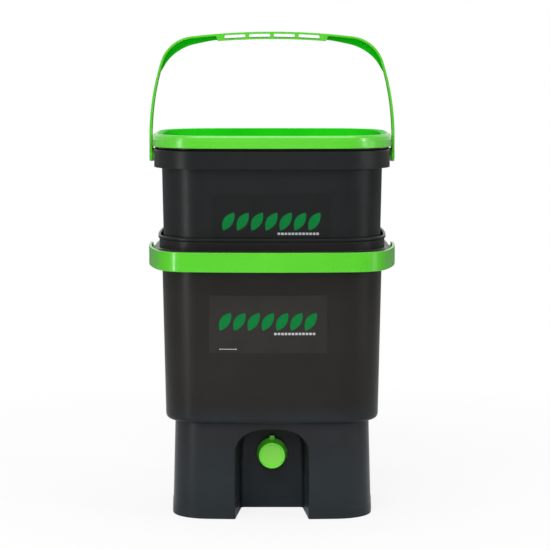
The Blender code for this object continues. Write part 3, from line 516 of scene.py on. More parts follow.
def lid_profile():
    """The section of the lid, from the tray's top surface, over the land and skirt, to its underside."""
    plug = MOUTH_INSET + LID_FIT
    tray = plug + LID_WALL
    skirt = -LID_OVERHANG - LID_SKIRT_DRAFT
    corners = [
        (tray + TRAY_REACH, LID_TRAY, 0),
        (tray + LID_TRAY_DRAFT, LID_TRAY, TRAY_ROUND),
        (tray, LID_TOP, LAND_ROUND),
        (-LAND_EDGE, LID_TOP, 0),
        (-BROW_REACH, LID_TOP, BROW_ROUND),
        (-SHOULDER_REACH, LID_TOP - SHOULDER_DROP, SHOULDER_ROUND),
        (-LID_OVERHANG, LID_TOP - SKIRT_START, SKIRT_START_ROUND),
        (skirt, LID_SKIRT_BOTTOM, SKIRT_OUTER_ROUND),
        (skirt + LID_WALL, LID_SKIRT_BOTTOM, SKIRT_INNER_ROUND),
        (-LID_OVERHANG + LID_WALL, LID_TOP - SKIRT_INNER_START, CHANNEL_SLOPE_ROUND),
        (-CHANNEL_SLOPE, LID_CHANNEL - CHANNEL_SLOPE, CHANNEL_SLOPE_ROUND),
        (-LID_FIT, LID_CHANNEL, CHANNEL_ROUND),
        (plug, LID_CHANNEL, CHANNEL_ROUND),
        (plug + LID_TRAY_DRAFT, LID_TRAY - LID_WALL, TRAY_UNDER_ROUND),
        (tray + TRAY_REACH, LID_TRAY - LID_WALL, 0),
    ]
    return held(rounded(corners, 6), LID_EDGE_HOLD, LID_LOOP_STEP)


def make_lid(name):
    """Press-on lid with a sunk tray, a land over the rim and a skirt. The tray takes the second material,
    painted shade.
    """
    profile = lid_profile()
    lid = shell(name, profile)
    smooth(lid)
    # Painted shade: the tray's faces up to the land's edge, and the tray's flat cap, take the fuller green
    # without sheen
    edge = next(i for i, (inset, _) in enumerate(profile) if inset < 0.0)
    tray_shade_faces = edge * len(plan_outline(0.0))
    for face in list(lid.data.polygons)[:tray_shade_faces] + [lid.data.polygons[-2]]:
        face.material_index = 1
    return lid


# Handle

ARM_STEPS = 14
CORNER_STEPS = 22
CROWN_STEPS = 24
GRIP_STEPS = 24
WINDOW_STEPS = 6
WINDOW_TOP_RAIL = 3.0 * MM
WINDOW_SILL = 2.3 * MM
WINDOW_ROUND = 1.3 * MM
SILL_RAISE = 0.9 * MM
ARM_END_ROUND = 1.6 * MM
ARM_END_INNER_SCALE = 0.95
ARM_END_INNER_ROUND = 0.5 * MM
ARM_END_TAPER = 0.13
ARM_END_PROUD = 0.2 * MM
STRIP_ROUND = 0.9 * MM
GRIP_ROUND = 0.5 * MM
WEB_MARGIN = 0.2 * MM


def bow_path():
    """Half of the handle's outer line, from pivot to top centre, and where its corner starts and ends."""
    arm_centre = Vector((HANDLE_HALF_SPAN - ARM_BOW_RADIUS, ARM_UPRIGHT))
    crown_centre = Vector((0.0, HANDLE_RISE - BOW_TOP_RADIUS))
    bows = (arm_centre, ARM_BOW_RADIUS, crown_centre, BOW_TOP_RADIUS)
    corner_centre = touching_centre(*bows, BOW_CORNER_RADIUS)
    to_corner = corner_centre - arm_centre
    arm_end = math.atan2(to_corner.y, to_corner.x)
    from_crown = corner_centre - crown_centre
    corner_end = math.atan2(from_crown.y, from_crown.x)
    start = [(HANDLE_HALF_SPAN, 0.0), (HANDLE_HALF_SPAN, ARM_UPRIGHT / 2)]
    arm = arc_points(arm_centre, ARM_BOW_RADIUS, 0.0, arm_end, ARM_STEPS)
    corner = arc_points(corner_centre, BOW_CORNER_RADIUS, arm_end, corner_end, CORNER_STEPS)
    crown = arc_points(crown_centre, BOW_TOP_RADIUS, corner_end, math.pi / 2, CROWN_STEPS)
    path = start + arm + corner[1:] + crown[1:]
    first = len(start) + len(arm) - 1
    return path, first, first + len(corner) - 1


def path_lengths(points):
    """Running length at each point."""
    lengths = [0.0]
    for a, b in zip(points, points[1:]):
        lengths.append(lengths[-1] + math.dist(a, b))
    return lengths


def inward_offset(points, depths):
    """Move each point of the half path square to the path, towards the inside of the handle."""
    moved = []
    last = len(points) - 1
    for i, (x, z) in enumerate(points):
        before = points[max(i - 1, 0)]
        after = points[min(i + 1, last)]
        tangent = Vector((after[0] - before[0], after[1] - before[1])).normalized()
        if i in (0, last):
            tangent = Vector((0.0, 1.0)) if i == 0 else Vector((-1.0, 0.0))
        moved.append((x - tangent.y * depths[i], z + tangent.x * depths[i]))
    return moved


def mirrored_band(outer, inner):
    """A closed outline between an outer and an inner half path and their mirror images."""
    outer_line = outer + [(-x, z) for x, z in reversed(outer[:-1])]
    inner_line = inner + [(-x, z) for x, z in reversed(inner[:-1])]
    return outer_line + list(reversed(inner_line))


def blend(share):
    """Smooth step from 0 to 1."""
    share = min(max(share, 0.0), 1.0)
    return share * share * (3 - 2 * share)


def crown_height(x):
    """Height of the handle's outer line near the grip."""
    return HANDLE_RISE - BOW_TOP_RADIUS + math.sqrt(BOW_TOP_RADIUS**2 - x**2)


def web_outline(outer, strip, corner_first, corner_last):
    """The web under the strip on one side: it grows along the arm and corner and levels off at the grip."""
    lengths = path_lengths(outer)
    start = lengths[corner_first] - WEB_RUN_DOWN
    peak = lengths[corner_first] + (lengths[corner_last] - lengths[corner_first]) * WEB_PEAK_SHARE
    level = lengths[-1] - GRIP_LENGTH / 2
    hidden = STRIP_THICKNESS / 4
    depths = []
    for length in lengths:
        climb = min(max((length - start) / (peak - start), 0.0), 1.0)
        rise = (WEB_CORNER_DEPTH + hidden) * math.sin(climb * math.pi / 2)
        fall = (WEB_CORNER_DEPTH - WEB_TOP_DEPTH) * blend((length - peak) / (level - peak))
        depths.append(rise - fall - hidden)
    overlap = STRIP_THICKNESS / 2
    first = next(i for i, length in enumerate(lengths) if length > start)
    upper = inward_offset(outer, [t - overlap for t in strip])[first:]
    lower = inward_offset(outer, [t + d for t, d in zip(strip, depths)])[first:]
    keep = [i for i, (x, _) in enumerate(upper) if x > GRIP_LENGTH / 2]
    end = GRIP_LENGTH / 2 - GRIP_END_LAND / 2
    roof = crown_height(end)
    ends = [(end, roof - overlap), (end, roof - STRIP_THICKNESS - WEB_TOP_DEPTH)]
    return [upper[i] for i in keep] + ends + [lower[i] for i in reversed(keep)]


def grip_outline():
    """The grip block under the strip, with slanted ends."""
    upper = []
    lower = []
    for i in range(GRIP_STEPS + 1):
        share = 1 - 2 * i / GRIP_STEPS
        x = share * GRIP_LENGTH / 2
        slant = math.copysign(GRIP_SLANT, share) * abs(share) ** GRIP_STEPS
        upper.append((x + slant, crown_height(x) - GRIP_SKIN / 2))
        lower.append((x, crown_height(x) - GRIP_HEIGHT))
    return upper + list(reversed(lower))


def grip_window(index, reach, raised=0.0):
    """One of the windows through the grip, with rounded corners. Its sill can be raised."""
    inner = GRIP_LENGTH - 2 * GRIP_END_LAND
    opening = (inner - (GRIP_WINDOWS - 1) * GRIP_RIB) / GRIP_WINDOWS
    left = -inner / 2 + index * (opening + GRIP_RIB)
    xs = [left + opening * i / WINDOW_STEPS for i in range(WINDOW_STEPS + 1)]
    top = [(x, crown_height(x) - WINDOW_TOP_RAIL, 0.0) for x in xs]
    bottom = [(x, crown_height(x) - GRIP_HEIGHT + WINDOW_SILL + raised, 0.0) for x in reversed(xs)]
    corners = []
    for line in (top, bottom):
        line[0] = (*line[0][:2], WINDOW_ROUND)
        line[-1] = (*line[-1][:2], WINDOW_ROUND)
        corners += line
    return prism("window", rounded(corners, 4, closed=True), -reach, reach, "y")


def arm_end(side, inner, outer):
    """The thicker end of an arm: round above the pivot axis, lower below it, with rounded edges."""
    stations = [(inner, ARM_END_INNER_SCALE), (inner + ARM_END_INNER_ROUND, 1.0)]
    for angle in quarter_turn(6):
        x = outer - ARM_END_ROUND * (1 - math.sin(angle))
        stations.append((x, 1.0 - ARM_END_TAPER * (1 - math.cos(angle))))
    loops = []
    for x, scale in stations:
        outline = circle(ARM_END_RADIUS, 48)
        squash = ARM_END_DROP / ARM_END_RADIUS
        loops.append([(side * x, y * scale, z * scale * (1.0 if z > 0 else squash)) for y, z in outline])
    return loft("end", loops)


def add_pivots(handle):
    """The round ends of the arms and the snap pins that turn in the collar."""
    arm_inner = HANDLE_HALF_SPAN - ARM_THICKNESS
    pad_end = COLLAR_HALF_WIDTH + SEAT_GAP
    head = COLLAR_HALF_WIDTH - WALL - SEAT_GAP
    stages = [
        ("pad", PIVOT_PAD_RADIUS, pad_end, arm_inner + ARM_THICKNESS / 2),
        ("pin", PIN_RADIUS, head - PIN_HEAD_LENGTH / 2, pad_end + SEAT_GAP),
        ("head", PIN_HEAD_RADIUS, head - PIN_HEAD_LENGTH, head),
    ]
    for side in (-1, 1):
        fuse(handle, arm_end(side, arm_inner - ARM_END_STEP, HANDLE_HALF_SPAN + ARM_END_PROUD))
        for part, radius, near, far in stages:
            fuse(handle, prism(part, circle(radius, 32), *sorted((side * near, side * far)), "x"))


def make_handle(name):
    """Bail handle: strip, corner webs, ladder grip, ends and pins. The webs take the second material, painted
    shade under the strip.
    """
    outer, corner_first, corner_last = bow_path()
    lengths = path_lengths(outer)
    thinning = ARM_THICKNESS - STRIP_THICKNESS
    strip = [ARM_THICKNESS - thinning * blend(2 * length / lengths[-1]) for length in lengths]
    inner = inward_offset(outer, strip)
    half = HANDLE_HALF_WIDTH
    handle = prism(name, mirrored_band(outer, inner), -half, half, "y")
    soften(handle, STRIP_ROUND, 3)
    web = web_outline(outer, strip, corner_first, corner_last)
    for side in (-1, 1):
        outline = [(side * x, z) for x, z in web]
        fuse(handle, prism("web", outline, -WEB_HALF_THICKNESS, WEB_HALF_THICKNESS, "y"))
    grip = prism("grip", grip_outline(), -half + GRIP_SIDE_STEP, half - GRIP_SIDE_STEP, "y")
    soften(grip, GRIP_ROUND)
    fuse(handle, grip)
    for index in range(GRIP_WINDOWS):
        cut(handle, grip_window(index, half + OVERRUN, SILL_RAISE))
        for side in (-1, 1):
            front = grip_window(index, half / 2)
            front.data.transform(Matrix.Translation((0.0, side * (half / 2 + WEB_HALF_THICKNESS), 0.0)))
            cut(handle, front)
    add_pivots(handle)
    smooth(handle)
    # Painted shade: faces in the webs' middle plane get the darker green
    corners = handle.data.vertices
    for face in handle.data.polygons:
        if all(abs(corners[i].co.y) < WEB_HALF_THICKNESS + WEB_MARGIN for i in face.vertices):
            face.material_index = 1
    return handle


# Tap, with its own origin where the axis leaves the recess wall

SEAL = 2.0 * MM
BARREL_RADIUS = 10.5 * MM
BARREL_BORE_RADIUS = 7.0 * MM
BARREL_REACH = 15.0 * MM
BARREL_ROOT_ROUND = 0.3 * MM
FLANGE_RADIUS = 21.0 * MM
FLANGE_THICKNESS = 3.0 * MM
FLANGE_ROUND = 1.0 * MM
HOUSING_RADIUS = 13.5 * MM
HOUSING_LENGTH = 24.0 * MM
HOUSING_END = 2.5 * MM
PLUG_BORE_RADIUS = 3.5 * MM
PLUG_DEPTH = 2.2 * MM
GROOVE_DEPTH = 1.4 * MM
GROOVE_WIDTH = 3.0 * MM
O_RING_SETBACK = 19.0 * MM
PORT_RADIUS = 4.5 * MM
PORT_SETBACK = 8.5 * MM
PORT_SKIN = 0.2 * MM
TIP_ROUND = 0.8 * MM
SMALL_ROUND = 0.4 * MM
FINE_ROUND = 0.2 * MM
KNOB_RADIUS = 20.8 * MM
KNOB_FRONT_RADIUS = 17.7 * MM
KNOB_LENGTH = 26.0 * MM
KNOB_BACK_BAND = 4.0 * MM
KNOB_CLEARANCE = 0.4 * MM
KNOB_RUNNING_GAP = 0.8 * MM
KNOB_MOUTH_ROUND = 0.3 * MM
KNOB_BACK_ROUND = 1.4 * MM
KNOB_BAND_ROUND = 1.5 * MM
KNOB_FRONT_ROUND = 1.0 * MM
KNOB_BEVEL = 0.3 * MM
KNOB_STEPS = 96
FACE_RING_RADIUS = 16.3 * MM
FACE_GROOVE_RADIUS = 15.6 * MM
FACE_GROOVE_INNER_RADIUS = 15.0 * MM
FACE_GROOVE_DEPTH = 1.4 * MM
FACE_RADIUS = 14.4 * MM
FACE_DEPTH = 0.7 * MM
FACE_CENTRE_RADIUS = 6.0 * MM
FACE_LEAST_NORMAL = 0.9
RELIEF_RADIUS = 15.4 * MM
RELIEF_INNER_RADIUS = 10.5 * MM
POINTER_WIDTH = 6.4 * MM
POINTER_LENGTH = 5.0 * MM
POINTER_HEIGHT = 3.2 * MM
POINTER_ROOT = 1.6 * MM

FLANGE_BACK = 2 * SEAT_GAP + SEAL
FLANGE_FRONT = FLANGE_BACK + FLANGE_THICKNESS
HOUSING_FRONT = FLANGE_FRONT + HOUSING_LENGTH
KNOB_BACK = FLANGE_FRONT + KNOB_RUNNING_GAP
KNOB_FRONT = KNOB_BACK + KNOB_LENGTH
GROOVE_CENTRE = FLANGE_FRONT + O_RING_SETBACK
GROOVE_BACK = GROOVE_CENTRE - GROOVE_WIDTH / 2
GROOVE_FRONT = GROOVE_CENTRE + GROOVE_WIDTH / 2


def port(low, high):
    """Cutter for the port, square to the tap's axis."""
    return prism("port", circle(PORT_RADIUS, 32, (0.0, -FLANGE_FRONT - PORT_SETBACK)), low, high, "z")


def make_tap_body(name):
    """Tap body: barrel through the wall, flange and a closed housing with a port underneath."""
    floor = HOUSING_RADIUS - GROOVE_DEPTH
    corners = [
        (BARREL_BORE_RADIUS, -BARREL_REACH, SMALL_ROUND),
        (BARREL_RADIUS, -BARREL_REACH, TIP_ROUND),
        (BARREL_RADIUS, FLANGE_BACK, BARREL_ROOT_ROUND),
        (FLANGE_RADIUS, FLANGE_BACK, SMALL_ROUND),
        (FLANGE_RADIUS, FLANGE_FRONT, FLANGE_ROUND),
        (HOUSING_RADIUS, FLANGE_FRONT, SMALL_ROUND),
        (HOUSING_RADIUS, GROOVE_BACK, FINE_ROUND),
        (floor, GROOVE_BACK, FINE_ROUND),
        (floor, GROOVE_FRONT, FINE_ROUND),
        (HOUSING_RADIUS, GROOVE_FRONT, FINE_ROUND),
        (HOUSING_RADIUS, HOUSING_FRONT, TIP_ROUND),
        (PLUG_BORE_RADIUS, HOUSING_FRONT, FINE_ROUND),
        (PLUG_BORE_RADIUS, HOUSING_FRONT - HOUSING_END, FINE_ROUND),
        (BARREL_BORE_RADIUS, HOUSING_FRONT - HOUSING_END, FINE_ROUND),
    ]
    body = turned(name, rounded(corners, 3, closed=True), False)
    plug = circle((PLUG_BORE_RADIUS + BARREL_BORE_RADIUS) / 2, 48)
    fuse(body, prism("plug", plug, -HOUSING_FRONT + SEAT_GAP, -HOUSING_FRONT + PLUG_DEPTH, "y"))
    cut(body, port(-HOUSING_RADIUS - OVERRUN, 0.0))
    smooth(body)
    return body


def make_tap_knob(name):
    """Turning knob: tapered cap, grooved face, pointer and port. Its sides take the second material, painted
    light.
    """
    bore = HOUSING_RADIUS + KNOB_CLEARANCE
    corners = [
        (bore, HOUSING_FRONT + KNOB_CLEARANCE, 0),
        (bore, KNOB_BACK, KNOB_MOUTH_ROUND),
        (KNOB_RADIUS, KNOB_BACK, KNOB_BACK_ROUND),
        (KNOB_RADIUS, KNOB_BACK + KNOB_BACK_BAND, KNOB_BAND_ROUND),
        (KNOB_FRONT_RADIUS, KNOB_FRONT, KNOB_FRONT_ROUND),
        (FACE_RING_RADIUS, KNOB_FRONT, FINE_ROUND),
        (FACE_GROOVE_RADIUS, KNOB_FRONT - FACE_GROOVE_DEPTH, FINE_ROUND),
        (FACE_GROOVE_INNER_RADIUS, KNOB_FRONT - FACE_GROOVE_DEPTH, FINE_ROUND),
        (FACE_RADIUS, KNOB_FRONT - FACE_DEPTH, FINE_ROUND),
        (FACE_CENTRE_RADIUS, KNOB_FRONT - FACE_DEPTH, 0),
    ]
    knob = turned(name, rounded(corners, 5), True, KNOB_STEPS)
    back = [(RELIEF_INNER_RADIUS, GROOVE_BACK), (RELIEF_RADIUS, GROOVE_BACK)]
    front = [(RELIEF_RADIUS, GROOVE_FRONT), (RELIEF_INNER_RADIUS, GROOVE_FRONT)]
    cut(knob, turned("relief", back + front, False))
    half = POINTER_WIDTH / 2
    tip = -KNOB_BACK - POINTER_LENGTH
    heel = -KNOB_BACK - SEAT_GAP
    outline = [(-half, tip), (half, tip), (half, heel), (-half, heel)]
    fuse(knob, prism("pointer", outline, KNOB_RADIUS - POINTER_ROOT, KNOB_RADIUS + POINTER_HEIGHT, "z"))
    cut(knob, port(0.0, KNOB_RADIUS - PORT_SKIN))
    soften(knob, KNOB_BEVEL)
    # Painted light: faces that do not face the front, the shaded sides, get the lighter green
    for face in knob.data.polygons:
        if abs(face.normal.y) < FACE_LEAST_NORMAL:
            face.material_index = 1
    return knob


# Labels

LABEL_WIDTH = 157.5 * MM
LABEL_HEIGHT = 77.7 * MM
LABEL_TOP = 305.0 * MM
LABEL_THICKNESS = 0.4 * MM
LABEL_STEPS = 24
PRINT_GAP = 0.02 * MM
PRINT_THICKNESS = 0.08 * MM
LEAVES = 7
LEAF_PITCH = 19.0 * MM
LEAF_LENGTH = 28.0 * MM
LEAF_WIDTH = 14.5 * MM
LEAF_TILT = math.radians(58.0)
LEAF_DROP = 35.5 * MM
LEAF_STEPS = 10
LEAF_SWELL = 0.8
LEAF_LOWER_SHARE = 0.8
DASH_SHARE = 0.72
# Left end, right end, height above the foot, height of a dash, count
DASH_ROWS = [
    (8.0 * MM, 64.0 * MM, 251.8 * MM, 3.0 * MM, 12),
    (-65.0 * MM, -41.0 * MM, 232.0 * MM, 1.2 * MM, 8),
]


def on_front(x, z, proud):
    """A point on the body's front wall, or proud of it."""
    return (x, -front_surface(x, body_inset(z)) - proud, z)


def make_label(name, shift):
    """Thin film stuck on the front of the body."""
    bottom = LABEL_TOP - LABEL_HEIGHT
    loops = []
    for i in range(LABEL_STEPS + 1):
        x = shift - LABEL_WIDTH / 2 + LABEL_WIDTH * i / LABEL_STEPS
        inner = [on_front(x, z, SEAT_GAP) for z in (LABEL_TOP, bottom)]
        outer = [on_front(x, z, SEAT_GAP + LABEL_THICKNESS) for z in (bottom, LABEL_TOP)]
        loops.append(inner + outer)
    label = loft(name, loops)
    smooth(label)
    return label


def leaf_outlines(shift):
    """A generic row of slanted leaves, pointed at both ends, as outlines of (x, z) points."""
    upper = []
    lower = []
    for i in range(LEAF_STEPS + 1):
        share = i / LEAF_STEPS
        swell = math.sin(math.pi * share) ** LEAF_SWELL * LEAF_WIDTH / 2
        along = (share - 0.5) * LEAF_LENGTH
        upper.append((along, swell))
        lower.append((along, -swell * LEAF_LOWER_SHARE))
    leaf = upper + list(reversed(lower[1:-1]))
    run, rise = math.cos(LEAF_TILT), math.sin(LEAF_TILT)
    middle = LABEL_TOP - LEAF_DROP
    outlines = []
    for i in range(LEAVES):
        x = shift + LEAF_PITCH * (i - (LEAVES - 1) / 2)
        outlines.append([(x + u * run - v * rise, middle + u * rise + v * run) for u, v in leaf])
    return outlines


def dash_outlines(shift):
    """Rows of small plain dashes below the leaves, as outlines of (x, z) points."""
    outlines = []
    for left, right, z, height, count in DASH_ROWS:
        pitch = (right - left) / count
        for i in range(count):
            x0 = shift + left + pitch * i
            x1 = x0 + pitch * DASH_SHARE
            outlines.append([(x0, z), (x1, z), (x1, z + height), (x0, z + height)])
    return outlines


def make_print(name, outlines):
    """Thin closed plates on the label film, one for each outline."""
    base = SEAT_GAP + LABEL_THICKNESS + PRINT_GAP
    mesh_data = bmesh.new()
    for points in outlines:
        rings = []
        for proud in (base, base + PRINT_THICKNESS):
            rings.append([mesh_data.verts.new(on_front(x, z, proud)) for x, z in points])
        for i in range(len(points)):
            j = (i + 1) % len(points)
            mesh_data.faces.new((rings[0][i], rings[0][j], rings[1][j], rings[1][i]))
        mesh_data.faces.new(list(reversed(rings[0])))
        mesh_data.faces.new(rings[1])
    plates = new_object(name, mesh_data)
    smooth(plates)
    return plates


# Materials

NOISE_ROUGHNESS = 0.55
NOISE_LOW = 0.3
NOISE_HIGH = 0.7

# Linear colours, and the tones of a wall at shares of TONE_HEIGHT above the floor. The tones are painted
# light on one black plastic: a painted floor reflection, lighter and bluish, at the foot and on the body's
# lower fillet, a lighter, warmer tone on the lower bin's wall and a darker one on the upper bin. The film's
# two tones likewise paint a lighter lower label and a darker upper one.
TONE_HEIGHT = 0.65
FOOT_SHEEN = (0.0145, 0.0190, 0.0220)
PLAIN = (0.0140, 0.0158, 0.0170)
FILLET_SHEEN = (0.0120, 0.0155, 0.0170)
WARM = (0.0118, 0.0110, 0.0098)
NEUTRAL = (0.0088, 0.0094, 0.0100)
FILM_LOW = (0.0155, 0.0145, 0.0126)
FILM_HIGH = (0.0045, 0.0055, 0.0057)
BLACK_PAINTED_LIGHT_STOPS = [
    (0.0, FOOT_SHEEN),
    (0.08, FOOT_SHEEN),
    (0.17, PLAIN),
    (0.19, PLAIN),
    (0.2, FILLET_SHEEN),
    (0.215, FILLET_SHEEN),
    (0.24, WARM),
    (0.52, WARM),
    (0.6, NEUTRAL),
]
FILM_PAINTED_LIGHT_STOPS = [(0.0, FILM_LOW), (0.51, FILM_LOW), (0.53, FILM_HIGH), (1.0, FILM_HIGH)]

# Two linear colours each, between which a noise wanders
LIME = ((0.060, 0.43, 0.008), (0.068, 0.46, 0.010))
# Painted light: a paler green for the knobs' faces
KNOB_FACE_LIT_LIME = ((0.22, 0.74, 0.070), (0.24, 0.78, 0.080))
# Painted shade: a fuller green for the lid's tray, a darker one for the handle's webs
TRAY_SHADE_LIME = ((0.012, 0.48, 0.006), (0.016, 0.52, 0.008))
WEB_SHADE_LIME = ((0.003, 0.33, 0.003), (0.005, 0.37, 0.005))
# Painted light: a lighter green for the knobs' shaded sides
KNOB_SIDE_LIT_LIME = ((0.14, 0.84, 0.05), (0.16, 0.88, 0.06))
LEAF_INK = ((0.002, 0.125, 0.026), (0.003, 0.145, 0.032))
PALE_INK = ((0.34, 0.35, 0.36), (0.42, 0.43, 0.44))
RUBBER = ((0.010, 0.010, 0.011), (0.016, 0.016, 0.017))


class Nodes:
    """A short way to build a material's node tree."""

    def __init__(self, name):
        self.material = bpy.data.materials.new(name)
        self.material.use_nodes = True
        self.tree = self.material.node_tree
        self.shader = self.tree.nodes["Principled BSDF"]
        self.coordinates = self.add("ShaderNodeTexCoord").outputs["Object"]

    def add(self, kind, **inputs):
        """A new node whose inputs are linked to sockets or set to values."""
        node = self.tree.nodes.new(kind)
        for key, value in inputs.items():
            socket = node.inputs[key.replace("_", " ")]
            if isinstance(value, bpy.types.NodeSocket):
                self.tree.links.new(value, socket)
            else:
                socket.default_value = value
        return node

    def set(self, **values):
        """Plain values for inputs of the shader."""
        for key, value in values.items():
            self.shader.inputs[key.replace("_", " ")].default_value = value

    def link(self, output, name):
        """Drive an input of the shader."""
        self.tree.links.new(output, self.shader.inputs[name])

    def noise(self, scale, detail=3.0):
        """Noise of some scale in the piece's own coordinates."""
        inputs = {"Scale": scale, "Detail": detail, "Roughness": NOISE_ROUGHNESS}
        return self.add("ShaderNodeTexNoise", Vector=self.coordinates, **inputs).outputs["Fac"]

    def ramp(self, factor, low, high):
        """Colour that wanders between two with a noise."""
        node = self.add("ShaderNodeValToRGB", Fac=factor)
        node.color_ramp.elements[0].position = NOISE_LOW
        node.color_ramp.elements[1].position = NOISE_HIGH
        node.color_ramp.elements[0].color = (*low, 1.0)
        node.color_ramp.elements[1].color = (*high, 1.0)
        return node.outputs["Color"]

    def between(self, factor, low, high):
        """Value that wanders between two with a noise."""
        limits = {"From_Min": NOISE_LOW, "From_Max": NOISE_HIGH, "To_Min": low, "To_Max": high}
        return self.add("ShaderNodeMapRange", Value=factor, **limits).outputs["Result"]

    def tone(self, stops):
        """Colour from a list of (share of the height, colour) stops: painted light that changes with height.
        """
        height = self.add("ShaderNodeSeparateXYZ", Vector=self.coordinates).outputs["Z"]
        share = self.add("ShaderNodeMapRange", Value=height, From_Max=TONE_HEIGHT).outputs["Result"]
        node = self.add("ShaderNodeValToRGB", Fac=share)
        for place, _ in stops[2:]:
            node.color_ramp.elements.new(place)
        for element, (place, colour) in zip(node.color_ramp.elements, stops):
            element.position = place
            element.color = (*colour, 1.0)
        return node.outputs["Color"]

    def mottled(self, colour, scale, spread):
        """Colour made a little lighter and darker in patches."""
        patches = self.ramp(self.noise(scale), (1 - spread,) * 3, (1 + spread,) * 3)
        mix = self.add("ShaderNodeMix")
        mix.data_type = "RGBA"
        mix.blend_type = "MULTIPLY"
        mix.inputs["Factor"].default_value = 1.0
        self.tree.links.new(colour, mix.inputs[6])
        self.tree.links.new(patches, mix.inputs[7])
        return mix.outputs[2]

    def finish(self, colour, grain, roughness, bumps, **gloss):
        """Wire a colour, a wandering roughness and bumps of (scale, detail, strength, distance)."""
        self.link(colour, "Base Color")
        self.link(self.between(self.noise(*grain), *roughness), "Roughness")
        self.set(**gloss)
        normal = None
        for scale, detail, strength, distance in bumps:
            inputs = {"Height": self.noise(scale, detail), "Strength": strength, "Distance": distance}
            if normal:
                inputs["Normal"] = normal
            normal = self.add("ShaderNodeBump", **inputs).outputs["Normal"]
        self.link(normal, "Normal")
        return self.material


def black_plastic():
    """Satin black moulded plastic: a fine grain, faint flow marks and dull patches, over tones of painted
    light and painted reflection that change with height.
    """
    n = Nodes("black_plastic_moulded")
    colour = n.mottled(n.tone(BLACK_PAINTED_LIGHT_STOPS), 9.0, 0.15)
    bumps = [(260.0, 3.0, 0.12, 0.0004), (14.0, 2.0, 0.12, 0.002)]
    return n.finish(colour, (26.0, 4.0), (0.28, 0.36), bumps, Specular_IOR_Level=0.14)


def green_plastic():
    """Lime green moulded plastic with a soft gloss and a thin clear coat."""
    n = Nodes("green_plastic_moulded")
    bumps = [(160.0, 2.0, 0.05, 0.0004), (18.0, 2.0, 0.1, 0.0015)]
    gloss = {"Specular_IOR_Level": 0.25, "Coat_Weight": 0.5, "Coat_Roughness": 0.17}
    return n.finish(n.ramp(n.noise(12.0), *LIME), (30.0, 4.0), (0.26, 0.34), bumps, **gloss)


def knob_face_lit_green():
    """Painted light: the same green made paler on the faces of the tap knobs, for the light they catch."""
    n = Nodes("green_plastic_knob_face_painted_light")
    colour = n.ramp(n.noise(20.0), *KNOB_FACE_LIT_LIME)
    return n.finish(colour, (60.0, 4.0), (0.30, 0.38), [(200.0, 2.0, 0.05, 0.0003)], Specular_IOR_Level=0.3)


def painted_shade_light_green(name, colours):
    """A fuller green with hardly any gloss: painted shade on the tray and the webs, and painted light on the
    knobs' shaded sides.
    """
    n = Nodes(name)
    colour = n.ramp(n.noise(12.0), *colours)
    return n.finish(colour, (30.0, 4.0), (0.32, 0.40), [(18.0, 2.0, 0.1, 0.0015)], Specular_IOR_Level=0.01)


def label_film():
    """Clear matt film over black plastic: a touch darker and smoother than the wall, with a tone that changes
    with height as painted light, lighter on the lower label.
    """
    n = Nodes("label_film_clear")
    colour = n.mottled(n.tone(FILM_PAINTED_LIGHT_STOPS), 30.0, 0.12)
    return n.finish(colour, (40.0,), (0.34, 0.42), [(90.0, 2.0, 0.08, 0.0003)], Specular_IOR_Level=0.18)


def print_ink(name, colours):
    """Printed ink on the film."""
    n = Nodes(name)
    colour = n.ramp(n.noise(300.0), *colours)
    return n.finish(colour, (120.0,), (0.4, 0.5), [(700.0, 3.0, 0.05, 0.0002)], Specular_IOR_Level=0.08)


def black_rubber():
    """Matt black rubber for the seals."""
    n = Nodes("black_rubber_matt")
    colour = n.ramp(n.noise(80.0), *RUBBER)
    return n.finish(colour, (200.0,), (0.62, 0.76), [(1400.0, 3.0, 0.2, 0.0002)])


# Assembly

LOOKS = {
    "black_plastic": black_plastic(),
    "green_plastic": green_plastic(),
    "label_film": label_film(),
    "black_rubber": black_rubber(),
}
# Painted light and painted shade, all on the one green plastic: the knobs' faces and sides made lighter, the
# lid's tray and the handle's webs fuller and darker
KNOB_FACE_LIT_GREEN = knob_face_lit_green()
TRAY_SHADE_GREEN = painted_shade_light_green("green_plastic_tray_painted_shade", TRAY_SHADE_LIME)
WEB_SHADE_GREEN = painted_shade_light_green("green_plastic_web_painted_shade", WEB_SHADE_LIME)
KNOB_SIDE_LIT_GREEN = painted_shade_light_green("green_plastic_knob_side_painted_light", KNOB_SIDE_LIT_LIME)
INK_GREEN = print_ink("leaf_print", LEAF_INK)
INK_PALE = print_ink("pale_print", PALE_INK)

RISES = {"lower": 0.0, "upper": NEST_RISE}
LABEL_SHIFTS = {"lower": -5.0 * MM, "upper": -0.4 * MM}
FOLDS = {"lower": math.pi / 2, "upper": 0.0}


def settle(obj, body, matrix, slot, nodes=(), material=None, second=None):
    """Bake a piece's place into its mesh, give it its finish and let it ride on a body."""
    obj.data.transform(matrix)
    face_materials = [face.material_index for face in obj.data.polygons]
    obj.data.materials.clear()
    obj.data.materials.append(material or LOOKS[slot])
    # The second material paints shade on the lid's tray and the handle's webs, and light on the knobs' sides
    if second:
        obj.data.materials.append(second)
    obj.data.polygons.foreach_set("material_index", face_materials)
    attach(obj, body)
    if nodes:
        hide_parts(*nodes)


